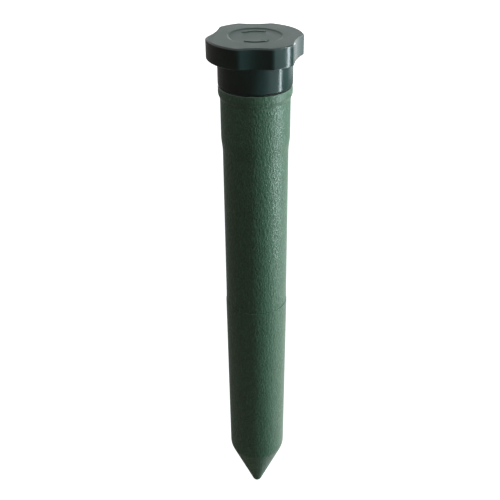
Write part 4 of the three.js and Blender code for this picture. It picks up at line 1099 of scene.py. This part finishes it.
def banded_lacquer(name, code, band_codes, axis_low, axis_high):
    """Dipped tan lacquer on a resistor, smooth and glossy, with plain colour bands across its length."""
    first_band = 0.3
    band_step = 0.1
    band_width = 0.05
    last_stop = 0.95
    made, tree = new_material(name)
    place = add_node(tree, "ShaderNodeTexCoord").outputs["Object"]
    parts = add_node(tree, "ShaderNodeSeparateXYZ", {"Vector": place})
    share = add_node(tree, "ShaderNodeMapRange", {
        "Value": parts.outputs["X"], "From Min": axis_low, "From Max": axis_high,
    })
    bands = add_node(tree, "ShaderNodeValToRGB", {"Fac": share.outputs[0]})
    bands.color_ramp.interpolation = "CONSTANT"
    stops = bands.color_ramp.elements
    stops[0].color = colour(code)
    stops[1].position = last_stop
    stops[1].color = colour(code)
    for place_along, band_code in enumerate(band_codes):
        start = first_band + band_step * place_along
        stops.new(start).color = colour(band_code)
        stops.new(start + band_width).color = colour(code)
    surface = add_node(tree, "ShaderNodeBsdfPrincipled", {
        "Base Color": bands.outputs["Color"], "Roughness": 0.3,
    })
    add_node(tree, "ShaderNodeOutputMaterial", {"Surface": surface.outputs[0]})
    return made


# Moulded epoxy looks dry and charcoal grey, and the shrunk sleeve is tight and shiny.
black_epoxy = matt_solid("moulded_black_epoxy", "262729", 0.5, 0.3 * mm, 0.01 * mm)
blue_sleeve = matt_solid("shrunk_blue_sleeve", "243357", 0.28, 1.2 * mm, 0.01 * mm)
resistor_low, resistor_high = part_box("bias_resistor")
tan_lacquer = banded_lacquer(
    "dipped_tan_lacquer", "c9a97a", ("6b4a2f", "1c1c1c", "b5482a", "b08b3a"), resistor_low.x, resistor_high.x,
)
dress(masked_board("solder_masked_laminate"), "circuit_board")
dress(black_epoxy, "timer_chip", "drive_transistor")
dress(blue_sleeve, "capacitor")
dress(tan_lacquer, "bias_resistor")

# Motor
# A small direct-current motor hangs below the cradle's floor. It has a drawn zinc-plated can, two ferrite
# magnets, a laminated armature on the shaft, and an ivory nylon end cap.
# Drawing leaves upright lines on the can, and the stacked sheets give the armature a fine banding.
drawn_can = worked_metal("drawn_zinc_plated_can", "b4b8bd", 0.34, 0.4 * mm, (1, 1, 0.15))
stacked_laminations = worked_metal("stacked_steel_laminations", "8e9196", 0.42, 0.5 * mm, (0.05, 0.05, 1))
# Sintered ferrite is a dull dark grey like slate, and moulded nylon is pale with a waxy sheen.
sintered_ferrite = matt_solid("sintered_ferrite", "3a3a3c", 0.66, 0.5 * mm, 0.03 * mm)
ivory_nylon = matt_solid("moulded_ivory_nylon", "d9d3c5", 0.42, 1.0 * mm, 0.01 * mm)
dress(drawn_can, "motor_can")
dress(stacked_laminations, "motor_armature")
dress(sintered_ferrite, "motor_magnet_front", "motor_magnet_back")
dress(ivory_nylon, "motor_end_cap")

# Leads
# Two leads feed the motor and one comes from the contact under the cells, in soft vinyl insulation.
# Vinyl has a waxy sheen, so the highlights on it are broad.
red_vinyl = matt_solid("red_vinyl_insulation", "a8261f", 0.42, 0.6 * mm, 0.01 * mm)
black_vinyl = matt_solid("black_vinyl_insulation", "1e1e20", 0.42, 0.6 * mm, 0.01 * mm)
dress(red_vinyl, "motor_lead_red", "battery_feed_lead")
dress(black_vinyl, "motor_lead_black")
